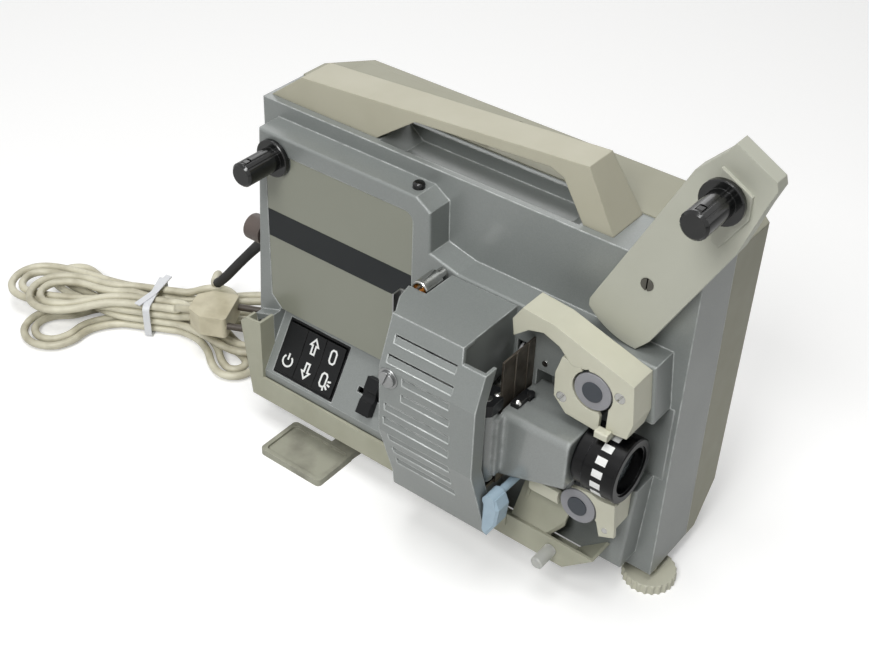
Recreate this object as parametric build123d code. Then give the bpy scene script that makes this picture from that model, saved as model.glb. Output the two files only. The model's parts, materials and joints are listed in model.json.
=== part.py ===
from build123d import *
import math
import os

# A compact movie projector for small-gauge film, in millimetres.
# While it is drawn, x runs from the left edge of the operating face to the lens end, y from that face
# to the back, and z up from the table. At the end everything moves so that the origin lies under the middle.

# Clearances and walls
overrun = 5.0
running_gap = 0.3
shaft_gap = 0.05
cast_wall = 2.5
moulded_wall = 2.2
guide_wall = 1.8
edge_round = 1.2

# Cast front housing
body_left = -9.9
body_length = 245.7
body_bottom = 11.0
body_height = 173.5
face_step = 14.6
seam_top_depth = 44.0
seam_bottom_depth = 50.0
face_length = 230.8
face_bottom = 21.0
face_height = 155.5
block_corner = 106.7
scoop_left = 61.0
scoop_length = 112.0
scoop_depth = 7.0
scoop_slope = 9.0
scoop_front = 18.0
scoop_back = 41.0
service_opening_margin = 9.0
# Corners of the operating face, as shares of its length and height
face_shares = (
    (0.0, 1.0),
    (0.4233, 1.0),
    (0.4597, 0.9653),
    (0.4623, 0.8251),
    (0.5325, 0.7981),
    (0.9874, 0.7942),
    (1.0, 0.6141),
    (0.9792, 0.0),
    (-0.0355, 0.0),
)

# Optical line and film
optical_height = 93.0
film_middle = -10.0
film_width = 8.0
gate_face = 167.0

# Lens recess and the slot for the shutter and the claw
recess_left = 170.0
recess_bottom = 72.5
recess_top = 114.5
slot_left = 158.5
lamp_port_left = 118.0
lamp_port_right = 156.0
lamp_port_half_height = 17.0

# Rear cover
cover_depth = 80.0
cover_chamfer_foot = 58.2
cover_chamfer_height = 32.0
cover_top_rise = 0.6
cover_left_chamfer = 17.0
cover_left_chamfer_depth = 20.0
cover_right_chamfer = 7.0
cover_crown_length = 96.0
cover_crown_rise = 1.6
vent_count = 9
vent_width = 3.0
vent_pitch = 7.0
vent_height = 34.0
vent_left = 26.0
vent_bottom = 108.0

# Base plate and feet
base_thickness = 2.0
base_margin = 5.0
rubber_foot_radius = 7.0
rubber_foot_inset = 22.0
rubber_foot_depth = 49.0
rubber_foot_span = 178.0
levelling_radius = 13.5
levelling_thickness = 5.5
levelling_x = 231.0
levelling_depth = 24.0
levelling_stem_radius = 3.5
levelling_scallops = 24
levelling_scallop_radius = 1.6
levelling_boss_radius = 8.0

# Swing-out support
pad_length = 42.0
pad_width = 28.5
pad_thickness = 4.0
pad_rim = 2.4
pad_pocket = 1.6
pad_left = 22.6
pad_front = -34.0
pad_pivot_x = 58.0
pad_pivot_depth = 26.0
pad_boss_radius = 9.0
pad_screw_radius = 3.0
pad_corner_round = 2.5

# Carrying handle
handle_front = 18.8
handle_back = 43.1
handle_top_back = 37.0
handle_left = -8.0
handle_length = 197.8
handle_height = 28.9
handle_outer_shares = (
    (0.0, 0.0),
    (0.101, 0.535),
    (0.922, 1.0),
    (1.0, 0.0),
)
handle_gap_shares = (
    (0.334, -0.02),
    (0.452, 0.57),
    (0.826, 0.751),
    (0.862, 0.66),
    (0.9242, -0.02),
)

# Operating side plate
plate_left = 4.0
plate_bottom = 71.9
plate_length = 92.3
plate_height = 94.9
plate_thickness = 0.6
plate_sink = 0.8
plate_corner_round = 5.0
plate_bevel = 7.0

# Key recess and the sloped panel
slope_left = 9.4
slope_right = 109.4
slope_step = 5.5
slope_top = 70.5
slope_reach = 13.6
slope_foot = 38.67
slope_thickness = 2.0
recess_ceiling = 72.0
slope_lip = 4.5
pillar_depth = 5.4

# Rocker keys
key_count = 3
key_width = 12.7
key_length = 29.0
key_gap = 0.4
key_left = 15.6
key_top_offset = 5.4
key_proud = 1.5
key_dip = 0.7
key_side = 3.0
key_depth = 5.4
key_pivot_depth = 2.6
key_pivot_radius = 1.2
key_well_gap = 0.8
key_block_wall = 1.2
key_block_depth = 10.5

# Speed lever
lever_x = 78.0
lever_width = 8.0
lever_length = 20.0
lever_height = 5.0
lever_slot_length = 20.0
lever_slot_width = 3.2
lever_travel = 6.0
lever_offset = 22.0

# Top push button
button_x = 93.5
button_depth = 7.6
button_radius = 3.0
button_rise = 3.0
button_travel = 2.0
button_collar = 0.8

# Film channel under the machine
rail_front = -15.5
rail_wall = 1.6
rail_top = 34.0
rail_bottom = 19.5
rail_bottom_right = 203.5
rail_top_right = 219.6
upright_left = -5.0
upright_foot = 1.1
upright_top = 65.9
upright_ridge = 70.5
rail_knob_x = 196.4
rail_knob_height = 27.0
rail_knob_radius = 3.25
rail_knob_length = 12.5
rail_knob_stem = 1.6
exit_roller_x = 3.6
exit_roller_height = 63.0
exit_roller_radius = 3.0
exit_roller_pin = 1.0
film_guide_left = 172.0
film_guide_right = 199.0
film_guide_rise = 18.0
film_guide_notch = 9.0

# Sprockets
sprocket_x = 207.3
upper_sprocket_height = 130.1
lower_sprocket_height = 62.1
film_pitch = 4.234
sprocket_teeth = 12
tooth_height = 1.0
tooth_width = 1.1
sprocket_face = -15.0
face_disc_radius = 9.3
face_disc_thickness = 1.0
sprocket_cap_radius = 5.0
sprocket_cap_rise = 0.5
sprocket_shaft_radius = 2.5
sprocket_shaft_end = 40.0
worm_wheel_radius = 11.0
worm_wheel_width = 8.0
worm_wheel_depth = 30.0
disc_window_gap = 0.9

# Upper film guard, its shoe, and the lower shoe
guard_front = -15.0
guard_left = 164.1
guard_length = 64.5
guard_bottom = 112.6
guard_height = 44.1
guard_outer_shares = (
    (0.0, 0.823),
    (0.0744, 1.0),
    (0.3256, 0.966),
    (0.6279, 0.83),
    (0.9659, 0.6825),
    (1.0, 0.238),
    (0.9674, 0.0295),
    (0.8047, 0.0),
    (0.8047, 0.3),
    (0.62, 0.64),
    (0.5891, 0.6168),
    (0.4868, 0.5941),
)
guard_arch_shares = ((0.3845, 0.746), (0.2512, 0.8186), (0.1333, 0.7687), (0.0186, 0.6259))
shoe_left = 188.1
shoe_length = 31.0
shoe_bottom = 107.4
shoe_height = 33.6
shoe_thickness = 2.0
shoe_shares = (
    (0.087, 1.0),
    (0.0, 0.708),
    (0.016, 0.336),
    (0.235, 0.128),
    (0.78, 0.085),
    (0.78, 0.34),
    (0.40, 0.955),
)
shoe_tab_left = 213.0
shoe_tab_width = 6.5
shoe_tab_height = 4.0
shoe_tab_reach = 4.5
shoe_boss_x = 192.4
shoe_boss_height = 119.5
shoe_boss_radius = 2.6
guard_screw_x = 220.6
guard_screw_height = 133.6
guard_screw_radius = 2.6
lower_shoe_left = 203.0
lower_shoe_length = 24.9
lower_shoe_bottom = 50.9
lower_shoe_height = 22.8
lower_shoe_shares = (
    (0.0, 0.92),
    (0.41, 1.0),
    (0.63, 0.93),
    (0.92, 1.0),
    (1.0, 0.16),
    (0.69, 0.0),
    (0.60, 0.34),
)
lower_tongue_left = 181.3
lower_tongue_bottom = 58.4
lower_tongue_height = 7.0
lower_pin_x = 222.6
lower_pin_height = 56.0
lower_pin_radius = 1.5
rivet_x = 174.0
rivet_height = 119.5
rivet_radius = 1.5

# Film gate
gate_depth = 24.7
gate_tail = 8.0
gate_top = 131.5
gate_foot = 60.0
gate_thickness = 1.0
aperture_width = 5.8
aperture_height = 4.2
claw_slot_length = 8.4
claw_slot_width = 1.6
perforation_depth = -6.8
gate_tab_thickness = 2.0
gate_rail_rise = 0.35
gate_rail_width = 1.2

# Hinge of the lens carrier
hinge_x = 164.0
hinge_y = -30.0
hinge_column_radius = 5.0
hinge_pin_radius = 1.5
hinge_block_left = 160.5
hinge_block_right = 169.0
hinge_block_front = -36.0
hinge_block_back = -20.0
hinge_block_bottom = 106.5
hinge_block_height = 6.0
hinge_block_bevel = 3.0
column_bottom = 66.5

# Lens carrier, lens and zoom ring
carrier_left = 169.0
carrier_right = 205.5
carrier_front = -26.5
carrier_back = 5.0
carrier_top = 105.5
carrier_foot_left = 68.5
carrier_foot_right = 80.2
carrier_wall = 2.0
carrier_round = 3.0
barrel_radius = 11.4
barrel_tail = 176.0
barrel_flange_radius = 14.8
barrel_flange_end = 212.0
barrel_front = 228.2
barrel_nose_radius = 12.4
lens_bore_radius = 10.2
ring_radius = 16.0
ring_left = 212.6
ring_right = 229.0
lens_glass_left = 219.0
lens_glass_thickness = 4.0
lens_bulge = 1.6
focus_travel = 4.0
finger_width = 4.2
finger_reach = 13.0
finger_height = 2.4
finger_tip_radius = 1.8
finger_left = 170.0
finger_notch_depth = 5.0
finger_arm_share = 0.4

# Lamp house cover
lamp_left = 109.8
lamp_side_right = 156.6
lamp_panel_right = 170.7
lamp_corner_left = 117.3
lamp_corner_depth = 38.0
lamp_bend_x = 112.1
lamp_bend_depth = 28.9
lamp_rear_edge_depth = 19.2
lamp_top = 143.5
lamp_bottom = 35.0
lamp_top_reach = 40.0
lamp_reach = 49.0
lamp_bottom_reach = 34.0
lamp_upper_bend = 119.5
lamp_lower_bend = 81.5
lamp_wall = 1.6
lamp_flange = 8.0
lamp_ledge_drop = 7.0
pin_notch_right = 119.9
louvre_height = 4.3
louvre_slit = 1.2
# Left end, right end and level of each louvre, as shares of the lamp house's length and height
louvre_shares = (
    (0.1970, 0.7570, 0.9078),
    (0.1773, 0.7734, 0.8221),
    (0.3383, 0.7685, 0.7484),
    (0.3317, 0.7750, 0.6618),
    (0.1773, 0.7833, 0.5724),
    (0.1691, 0.7816, 0.4940),
    (0.2102, 0.7865, 0.4055),
    (0.2151, 0.7718, 0.3134),
    (0.2151, 0.7849, 0.2313),
)
cover_screw_x = 122.6
cover_screw_height = 114.6
cover_screw_radius = 4.25
cover_screw_shank = 2.0
cover_screw_head = 2.2
clip_width = 9.0
clip_height = 15.0
clip_thickness = 0.8
clip_reach = 5.0
clip_front = -27.8
clip_bottom = 124.5

# Lamp and holder
lamp_rim = 151.0
lamp_neck = 134.0
lamp_rim_radius = 16.5
lamp_neck_radius = 5.5
lamp_shell = 1.4
bulb_radius = 3.6
bulb_length = 11.0
lamp_pin_radius = 0.6
lamp_pin_spread = 3.2
lamp_pin_length = 5.0
holder_left = 122.0
holder_length = 11.6
holder_width = 15.0
holder_height = 13.0
holder_arm_height = 6.0
holder_arm_width = 8.0
holder_shaft_gap = 1.0

# Framing pin
framing_x = 115.0
framing_height = 142.6
framing_radius = 2.5
framing_length = 18.0
framing_tip_radius = 1.3
framing_neck_radius = 1.2
framing_keeper_radius = 1.9

# Reel spindles
spindle_radius = 6.25
spindle_flange_radius = 9.75
spindle_flange_face = -3.0
spindle_flange_thickness = 2.4
spindle_tip = -24.0
spindle_bevel = 1.2
spindle_shaft_radius = 3.0
spindle_rib_width = 2.0
spindle_groove_depth = 0.5
spindle_groove_width = 0.8
spindle_rib_count = 3
spindle_rib_turn = 60.0
takeup_x = 10.5
takeup_height = 164.1
takeup_collar_radius = 6.0
takeup_shaft_end = 14.0
latch_width = 2.6
latch_length = 4.0
latch_sink = 0.15
latch_bevel = 0.6
latch_travel = 1.0
latch_setback = 2.4
latch_depth = 3.2

# Folding supply arm
arm_pivot_x = 215.3
arm_pivot_height = 179.5
arm_front = 5.0
arm_thickness = 8.0
arm_wall = 2.4
arm_tail_radius = 34.3
arm_left = 189.5
arm_length = 72.5
arm_bottom = 143.8
arm_height = 112.2
arm_fold = 106.0
arm_shares = (
    (0.731, 1.0),
    (0.985, 0.912),
    (1.0, 0.881),
    (0.953, 0.800),
    (0.848, 0.594),
    (0.425, 0.073),
    (0.335, 0.007),
    (0.258, 0.0),
    (0.0, 0.085),
    (0.001, 0.149),
    (0.044, 0.207),
    (0.332, 0.586),
    (0.527, 0.848),
    (0.688, 0.957),
)
arm_pad_shares = ((0.681, 0.901), (0.879, 0.833), (0.883, 0.743), (0.745, 0.596), (0.694, 0.613))
arm_pad_rise = 1.5
arm_screw_radius = 3.0
arm_washer_radius = 4.4
supply_x = 243.8
supply_height = 234.1

# Side knob
side_knob_depth = 7.3
side_knob_height = 110.0
side_knob_radius = 7.0
side_knob_thickness = 11.0
side_knob_end = -16.0
side_knob_shaft = 2.5

# Loop lever
loop_x = 175.0
loop_height = 63.0
loop_hub_radius = 3.5
loop_front = -40.0
loop_thickness = 9.0
loop_shaft_radius = 2.0
loop_length = 22.5
loop_width = 9.0
loop_shares = (
    (-0.39, 0.0),
    (-0.39, -0.88),
    (-0.06, -1.0),
    (0.50, -0.58),
    (0.61, -0.13),
    (0.36, 0.10),
)

# Chassis and shafts inside
chassis_face = 26.0
chassis_thickness = 2.0
chassis_margin = 4.0
main_shaft_depth = 22.0
main_shaft_radius = 3.0
main_shaft_left = 101.0
main_shaft_right = 196.0
shutter_x = 160.0
shutter_thickness = 1.2
shutter_radius = 37.0
shutter_hub_radius = 6.5
shutter_blade_angle = 62.0
shutter_core_radius = 17.0
shutter_blades = 3
pulley_left = 104.0
pulley_width = 7.0
main_pulley_radius = 14.0
motor_pulley_radius = 7.0
belt_thickness = 1.6
pulley_lip = 1.2
motor_depth = 53.0
motor_height = 58.0
motor_radius = 23.0
motor_left = 30.0
motor_length = 56.0
motor_shaft_radius = 2.5
motor_foot_width = 30.0
fan_left = 89.0
fan_width = 9.0
fan_radius = 20.0
fan_blades = 8
fan_blade_thickness = 1.2
main_gear_radius = 4.5
main_gear_width = 8.0
timing_x = 190.0
timing_depth = 34.0
timing_gear_radius = 7.2
timing_gear_width = 6.0
timing_shaft_radius = 2.5
timing_bottom = 44.0
timing_top = 150.0
worm_radius = 6.0
worm_length = 16.0
worm_groove = 1.2
worm_turns = 4
lug_thickness = 4.0
lug_width = 12.0

# Claw
claw_left = 164.0
claw_thickness = 2.0
claw_height = 6.0
claw_pitch_travel = 4.234
claw_frame_half_width = 6.0
claw_frame_half_height = 8.0
claw_frame_wall = 2.2
claw_rod_depth = 36.0
claw_rod_radius = 1.5
claw_boss_half = 3.4
claw_boss_height = 7.0
claw_tooth_height = 1.4
claw_tooth_width = 0.9
claw_tooth_reach = 0.3
claw_rod_reach = 17.0

# Transformer
core_left = 118.0
core_length = 50.0
core_depth = 26.0
core_height = 37.0
core_bottom = 16.0
core_tongue = 12.0
coil_overhang = 7.0
coil_inset = 8.0

# Gland and black sleeve of the mains cord in the left wall
gland_radius = 5.0
gland_length = 3.0
gland_depth = 36.0
gland_height = 92.0
boot_length = 9.0
sleeve_radius = 2.9
sleeve_points = (
    (-12.9, 36.0, 92.0),
    (-22.5, 35.8, 90.0),
    (-33.0, 33.6, 80.0),
    (-43.0, 31.4, 68.0),
    (-52.5, 29.8, 56.0),
    (-62.4, 27.0, 42.4),
    (-69.6, 29.6, 36.0),
)

# Free stretch of the cord, between the sleeve and the hank
cord_radius = 2.3
cord_points = ((-74.1, 31.2, 32.0), (-78.5, 35.2, 30.0), (-82.1, 40.3, 29.7), (-85.4, 45.1, 27.2))

# Hank of the put-away cord, laid from the table up, drawn in by a tie at its middle
hank_x = -106.0
hank_depth = 12.0
hank_turn = 28.0
hank_layers = 4
loops_per_layer = 2
loop_pitch = 6.2
layer_pitch = 5.2
waist_half = 13.4
waist_length = 24.0
bend_radius = 42.0
# For each layer: how far its loops reach, how wide they belly and how far they fan out
left_reach = (20.0, 28.0, 60.0, 38.0)
left_belly = (19.0, 17.0, 19.0, 22.0)
left_fan = (-42.0, 33.0, 4.0, -10.0)
right_reach = (24.0, 34.0, 42.0, 22.0)
right_belly = (17.0, 16.0, 17.0, 21.0)
right_fan = (-48.0, -22.0, 13.0, 2.0)
lead_start = (33.0, 23.5, 22.5)
lead_turn = (25.0, 20.0)
lead_turn_way = (-0.8, -0.6)

# Tie round the hank
tie_thickness = 0.8
tie_width = 4.2
tie_round = 2.4
tie_tail_length = 17.0
tie_tail_start = -2.0
tie_tail_turn = -15.0
tie_tail_tilt = 7.0
tie_end_length = 14.0
tie_end_turn = 157.0

# Plug
plug_along = 31.0
plug_across = -20.0
plug_rise = 28.0
plug_turn = -3.0
plug_length = 24.0
plug_width = 26.0
plug_thickness = 13.0
plug_round = 2.5
plug_shares = ((0.0, 0.27), (0.35, 0.5), (1.0, 0.5), (1.0, -0.5), (0.35, -0.5), (0.0, -0.27))
plug_pin_length = 19.0
plug_pin_radius = 2.0
plug_pin_spread = 9.5


def bar(x0, x1, y0, y1, z0, z1):
    size_x = x1 - x0
    size_y = y1 - y0
    size_z = z1 - z0
    return Pos(x0 + size_x / 2, y0 + size_y / 2, z0 + size_z / 2) * Box(size_x, size_y, size_z)


def along_x(y, z, radius, x0, x1):
    length = x1 - x0
    return Pos(x0 + length / 2, y, z) * Rot(0, 90, 0) * Cylinder(radius, length)


def along_y(x, z, radius, y0, y1):
    length = y1 - y0
    return Pos(x, y0 + length / 2, z) * Rot(90, 0, 0) * Cylinder(radius, length)


def along_z(x, y, radius, z0, z1):
    length = z1 - z0
    return Pos(x, y, z0 + length / 2) * Cylinder(radius, length)


def from_shares(shares, left, bottom, length, height):
    return [(left + across * length, bottom + up * height) for across, up in shares]


def outline_face(points, radius=0.0):
    if radius > 0.0:
        return make_face(FilletPolyline(*points, radius=radius, close=True))
    return make_face(Polyline(*points, close=True))


def front_prism(face, y0, y1):
    """A face drawn in x and z, carried from depth y0 to depth y1."""
    return extrude(Plane.XZ.offset(-y0) * face, amount=-(y1 - y0))


def side_prism(face, x0, x1):
    """A face drawn in y and z, carried from x0 to x1."""
    return extrude(Plane.YZ.offset(x0) * face, amount=x1 - x0)


def level_prism(face, z0, z1):
    """A face drawn in x and y, carried from height z0 to height z1."""
    return extrude(Plane.XY.offset(z0) * face, amount=z1 - z0)


def slope_plane():
    drop = slope_top - slope_foot
    reach = slope_step + slope_reach
    return Plane(origin=(slope_left, slope_step, slope_top), x_dir=(1, 0, 0), z_dir=(0, -drop, reach))


def slope_length():
    return math.hypot(slope_top - slope_foot, slope_step + slope_reach)


def slope_box(x0, x1, down0, down1, n0, n1):
    """A block on the sloped panel: along it in x, down it from its top edge, and out of its face."""
    local = bar(x0 - slope_left, x1 - slope_left, -down1, -down0, n0, n1)
    return slope_plane() * local


body_right = body_left + body_length
body_top = body_bottom + body_height
face_top = face_bottom + face_height
sprocket_radius = film_pitch * sprocket_teeth / (2 * math.pi)
film_front = film_middle - film_width / 2
film_back = film_middle + film_width / 2


def face_outline(inset):
    face = outline_face(from_shares(face_shares, 0, face_bottom, face_length, face_height))
    if inset > 0:
        return offset(face, amount=-inset, kind=Kind.INTERSECTION)
    return face


def front_housing():
    slab_side = [
        (face_step, body_bottom),
        (seam_bottom_depth, body_bottom),
        (seam_top_depth, body_top),
        (face_step, body_top),
    ]
    slab = side_prism(outline_face(slab_side), body_left, body_right)
    raised = front_prism(face_outline(0), 0, face_step)
    front_edges = raised.edges().filter_by_position(Axis.Y, -shaft_gap, shaft_gap)
    raised = fillet(front_edges, edge_round)
    housing = slab + raised

    inner_left = body_left + cast_wall
    inner_right = body_right - cast_wall
    inner_bottom = body_bottom + cast_wall
    inner_top = body_top - cast_wall
    hollow = bar(inner_left, inner_right, face_step + cast_wall, seam_bottom_depth + overrun, inner_bottom, inner_top)
    scoop_side = [
        (scoop_left, body_top),
        (scoop_left + scoop_slope, body_top - scoop_depth),
        (scoop_left + scoop_length - scoop_slope, body_top - scoop_depth),
        (scoop_left + scoop_length, body_top),
    ]
    scoop_face = outline_face(scoop_side)
    scoop = front_prism(scoop_face, scoop_front, scoop_back)
    scoop_shell = bar(
        scoop_left - cast_wall,
        scoop_left + scoop_length + cast_wall,
        scoop_front - cast_wall,
        scoop_back + cast_wall,
        body_top - scoop_depth - cast_wall,
        body_top,
    )
    front_hollow = front_prism(face_outline(cast_wall), cast_wall, face_step + cast_wall + shaft_gap)
    recess_keep = bar(
        gate_face + gate_thickness,
        body_right,
        0,
        face_step + cast_wall,
        recess_bottom - cast_wall,
        recess_top + cast_wall,
    )
    key_keep = bar(
        body_left,
        slope_right + cast_wall,
        0,
        face_step + cast_wall,
        slope_foot - slope_lip - cast_wall,
        recess_ceiling + cast_wall,
    )
    front_hollow = front_hollow - recess_keep - key_keep
    housing = housing - (hollow - scoop_shell) - front_hollow - scoop

    lens_recess = bar(recess_left, body_right + overrun, -overrun, face_step, recess_bottom, recess_top)
    half_chord = math.sqrt((shutter_radius + edge_round) ** 2 - (main_shaft_depth - cast_wall) ** 2)
    slot = bar(
        slot_left,
        gate_face + gate_thickness,
        -overrun,
        face_step + cast_wall + overrun,
        optical_height - half_chord,
        optical_height + half_chord,
    )
    lamp_port = bar(
        lamp_port_left,
        lamp_port_right,
        -overrun,
        face_step + cast_wall + overrun,
        optical_height - lamp_port_half_height,
        optical_height + lamp_port_half_height,
    )
    plate_seat = front_prism(plate_outline(0), -overrun, plate_sink)
    housing = housing - lens_recess - slot - lamp_port - plate_seat - bay_floor(overrun)

    cut_side = [
        (-slope_reach - overrun, recess_ceiling),
        (slope_step, recess_ceiling),
        (slope_step, slope_top),
        (-slope_reach, slope_foot),
        (-slope_reach - overrun, slope_foot),
    ]
    housing = housing - side_prism(outline_face(cut_side), slope_left, slope_right)
    drop = slope_top - slope_foot
    reach = slope_step + slope_reach
    behind = slope_thickness * slope_length() / drop
    lip_back = -slope_reach + slope_thickness
    panel_side = [
        (slope_step, slope_top),
        (-slope_reach, slope_foot),
        (-slope_reach, slope_foot - slope_lip),
        (lip_back, slope_foot - slope_lip),
        (lip_back, slope_top - (slope_step + behind - lip_back) * drop / reach),
        (slope_step + behind, slope_top),
    ]
    room_side = [
        (slope_step, recess_ceiling - cast_wall),
        (-slope_reach, slope_foot - slope_lip),
        (face_step + cast_wall + overrun, slope_foot - slope_lip),
        (face_step + cast_wall + overrun, recess_ceiling - cast_wall),
    ]
    room = side_prism(outline_face(room_side), slope_left + cast_wall, slope_right)
    housing = housing - room + side_prism(outline_face(panel_side), slope_left, slope_right)
    key_hole_top = key_top_offset - key_block_wall
    key_hole_bottom = key_top_offset + key_length + key_block_wall
    housing = housing - slope_box(
        key_left - key_block_wall,
        key_left + key_row_width() + key_block_wall,
        key_hole_top,
        min(key_hole_bottom, slope_length() + overrun),
        -key_block_depth - overrun,
        overrun,
    )
    housing = housing - slope_box(
        lever_x - lever_slot_length / 2,
        lever_x + lever_slot_length / 2,
        lever_offset - lever_slot_width / 2,
        lever_offset + lever_slot_width / 2,
        -slope_thickness - overrun,
        overrun,
    )
    pillar_face = [
        (upright_foot + rail_wall, rail_top),
        (upright_left + rail_wall, upright_top),
        (slope_left, upright_ridge),
        (slope_left, rail_top),
    ]
    housing = housing + front_prism(outline_face(pillar_face), -pillar_depth, 0)

    boss = along_y(arm_pivot_x, arm_pivot_height, arm_washer_radius, arm_front + arm_thickness + running_gap, face_step)
    boss_thread = along_y(
        arm_pivot_x, arm_pivot_height, arm_screw_radius + shaft_gap, 0, face_step + cast_wall + overrun
    )
    housing = housing + boss - boss_thread
    for height in (upper_sprocket_height, lower_sprocket_height):
        hub = along_y(sprocket_x, height, sprocket_shaft_radius * 2, cast_wall - shaft_gap, face_step)
        housing = housing + hub
        housing = housing - along_y(
            sprocket_x, height, sprocket_shaft_radius + shaft_gap, -overrun, face_step + overrun
        )
    takeup_hub = along_y(takeup_x, takeup_height, takeup_collar_radius, cast_wall - shaft_gap, takeup_shaft_end - cast_wall)
    housing = housing + takeup_hub
    housing = housing - along_y(
        takeup_x, takeup_height, spindle_shaft_radius + shaft_gap, -overrun, takeup_shaft_end + overrun
    )
    housing = housing - along_z(
        button_x, button_depth, button_radius + shaft_gap, face_top - cast_wall - overrun, face_top + overrun
    )
    housing = housing - along_y(
        framing_x, framing_height, framing_neck_radius + shaft_gap, -overrun, cast_wall + overrun
    )
    for x, height, radius in screw_places():
        housing = housing - along_y(x, height, radius + shaft_gap, -overrun, cast_wall + overrun)
    housing = housing - along_y(
        cover_screw_x, cover_screw_height, cover_screw_shank + shaft_gap, -overrun, cast_wall + overrun
    )
    housing = housing - along_y(loop_x, loop_height, loop_shaft_radius + shaft_gap, -overrun, cast_wall + overrun)
    housing = housing - along_x(
        side_knob_depth, side_knob_height, side_knob_shaft + shaft_gap, body_left - overrun, cast_wall + overrun
    )
    housing = housing - along_x(
        gland_depth, gland_height, gland_radius, body_left - overrun, inner_left + overrun
    )
    housing = housing - bar(
        body_left + service_opening_margin,
        body_right - service_opening_margin * 3,
        face_step + service_opening_margin,
        seam_bottom_depth + overrun,
        body_bottom - overrun,
        inner_bottom + overrun,
    )
    foot_boss = along_z(levelling_x - cast_wall, levelling_depth, levelling_boss_radius, body_bottom, inner_bottom + overrun)
    foot_boss = foot_boss & bar(body_left, body_right, face_step, seam_bottom_depth, 0, body_top)
    foot_bore = along_z(levelling_x, levelling_depth, levelling_stem_radius + shaft_gap, 0, inner_bottom + overrun * 2)
    return housing + foot_boss - foot_bore


def bay_floor(past):
    """The floor of the lens recess, or with some length past it the window that it fills."""
    return bar(
        recess_left, body_right - cast_wall, face_step - past, face_step + cast_wall + past, recess_bottom, recess_top
    )


def screw_places():
    """Where the guides are screwed or pinned to the operating face, with the radius of each shank."""
    return (
        (guard_screw_x, guard_screw_height, guard_screw_radius / 2),
        (shoe_boss_x, shoe_boss_height, shoe_boss_radius / 2),
        (lower_pin_x, lower_pin_height, lower_pin_radius),
        (rivet_x, rivet_height, rivet_radius / 2),
    )


def key_row_width():
    return key_count * key_width + (key_count - 1) * key_gap


def plate_outline(inset):
    left = plate_left + inset
    right = plate_left + plate_length - inset
    bottom = plate_bottom + inset
    top = plate_bottom + plate_height - inset
    points = [(left, bottom + plate_bevel), (left, top), (right, top), (right, bottom), (left + plate_bevel, bottom)]
    face = outline_face(points)
    corner = face.vertices().sort_by_distance((right, top, 0))[0]
    return fillet(corner, plate_corner_round)


def panel_plate():
    plate = front_prism(plate_outline(shaft_gap), plate_sink - plate_thickness, plate_sink)
    return plate - along_y(takeup_x, takeup_height, spindle_flange_radius + running_gap, -overrun, overrun)


def cover_form(inset, reach):
    bottom = body_bottom + inset
    top = body_top + cover_top_rise - inset
    back = cover_depth - inset
    foot = cover_chamfer_foot - inset / 2
    side = [
        (seam_bottom_depth, bottom),
        (foot, bottom),
        (back, bottom + cover_chamfer_height),
        (back, top),
        (seam_top_depth, top),
    ]
    if reach > 0:
        side = side[:-1] + [(seam_top_depth - reach, top), (seam_bottom_depth - reach, bottom)]
    form = side_prism(outline_face(side), body_left + inset, body_right - inset)
    plan = [
        (body_left + inset, seam_top_depth - overrun),
        (body_left + inset, cover_depth - cover_left_chamfer_depth - inset / 2),
        (body_left + cover_left_chamfer + inset / 2, back),
        (body_right - cover_right_chamfer - inset / 2, back),
        (body_right - inset, cover_depth - cover_right_chamfer - inset / 2),
        (body_right - inset, seam_top_depth - overrun),
    ]
    return form & level_prism(outline_face(plan), body_bottom - overrun, body_top + overrun)


def rear_cover():
    cover = cover_form(0, 0)
    crown_side = [
        (seam_top_depth, body_top),
        (cover_depth - cover_crown_rise * 2, body_top),
        (cover_depth - cover_crown_rise * 4, body_top + cover_top_rise + cover_crown_rise),
        (seam_top_depth + cover_crown_rise * 2, body_top + cover_top_rise + cover_crown_rise),
    ]
    crown = side_prism(
        outline_face(crown_side),
        body_left + cover_left_chamfer,
        body_left + cover_left_chamfer + cover_crown_length,
    )
    cover = cover + crown - cover_form(moulded_wall, overrun)
    for index in range(vent_count):
        left = vent_left + index * vent_pitch
        cover = cover - bar(
            left,
            left + vent_width,
            cover_depth - moulded_wall - overrun,
            cover_depth + overrun,
            vent_bottom,
            vent_bottom + vent_height,
        )
    return cover


def carry_handle():
    outer = from_shares(handle_outer_shares, handle_left, body_top, handle_length, handle_height)
    gap = from_shares(handle_gap_shares, handle_left, body_top, handle_length, handle_height)
    block = front_prism(outline_face(outer), handle_front, handle_back)
    block = block - front_prism(outline_face(gap), handle_front - overrun, handle_back + overrun)
    side = [
        (handle_front, body_top),
        (handle_back, body_top),
        (handle_top_back, body_top + handle_height),
        (handle_front, body_top + handle_height),
    ]
    return block & side_prism(outline_face(side), handle_left, handle_left + handle_length)


def base_plate():
    plate = bar(
        body_left + base_margin,
        body_right - base_margin,
        face_step + base_margin / 2,
        cover_chamfer_foot - base_margin / 2,
        body_bottom - base_thickness,
        body_bottom,
    )
    plate = plate - along_z(
        levelling_x, levelling_depth, levelling_stem_radius * 2, body_bottom - overrun, body_bottom + overrun
    )
    return plate - along_z(
        pad_pivot_x, pad_pivot_depth, pad_screw_radius + shaft_gap, body_bottom - overrun, body_bottom + overrun
    )


def rubber_feet():
    feet = []
    for offset_x in (0, rubber_foot_span):
        centre_x = body_left + rubber_foot_inset + offset_x
        foot = Cone(rubber_foot_radius - edge_round, rubber_foot_radius, body_bottom - base_thickness)
        feet.append(Pos(centre_x, rubber_foot_depth, (body_bottom - base_thickness) / 2) * foot)
    return Compound(children=feet)


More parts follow.
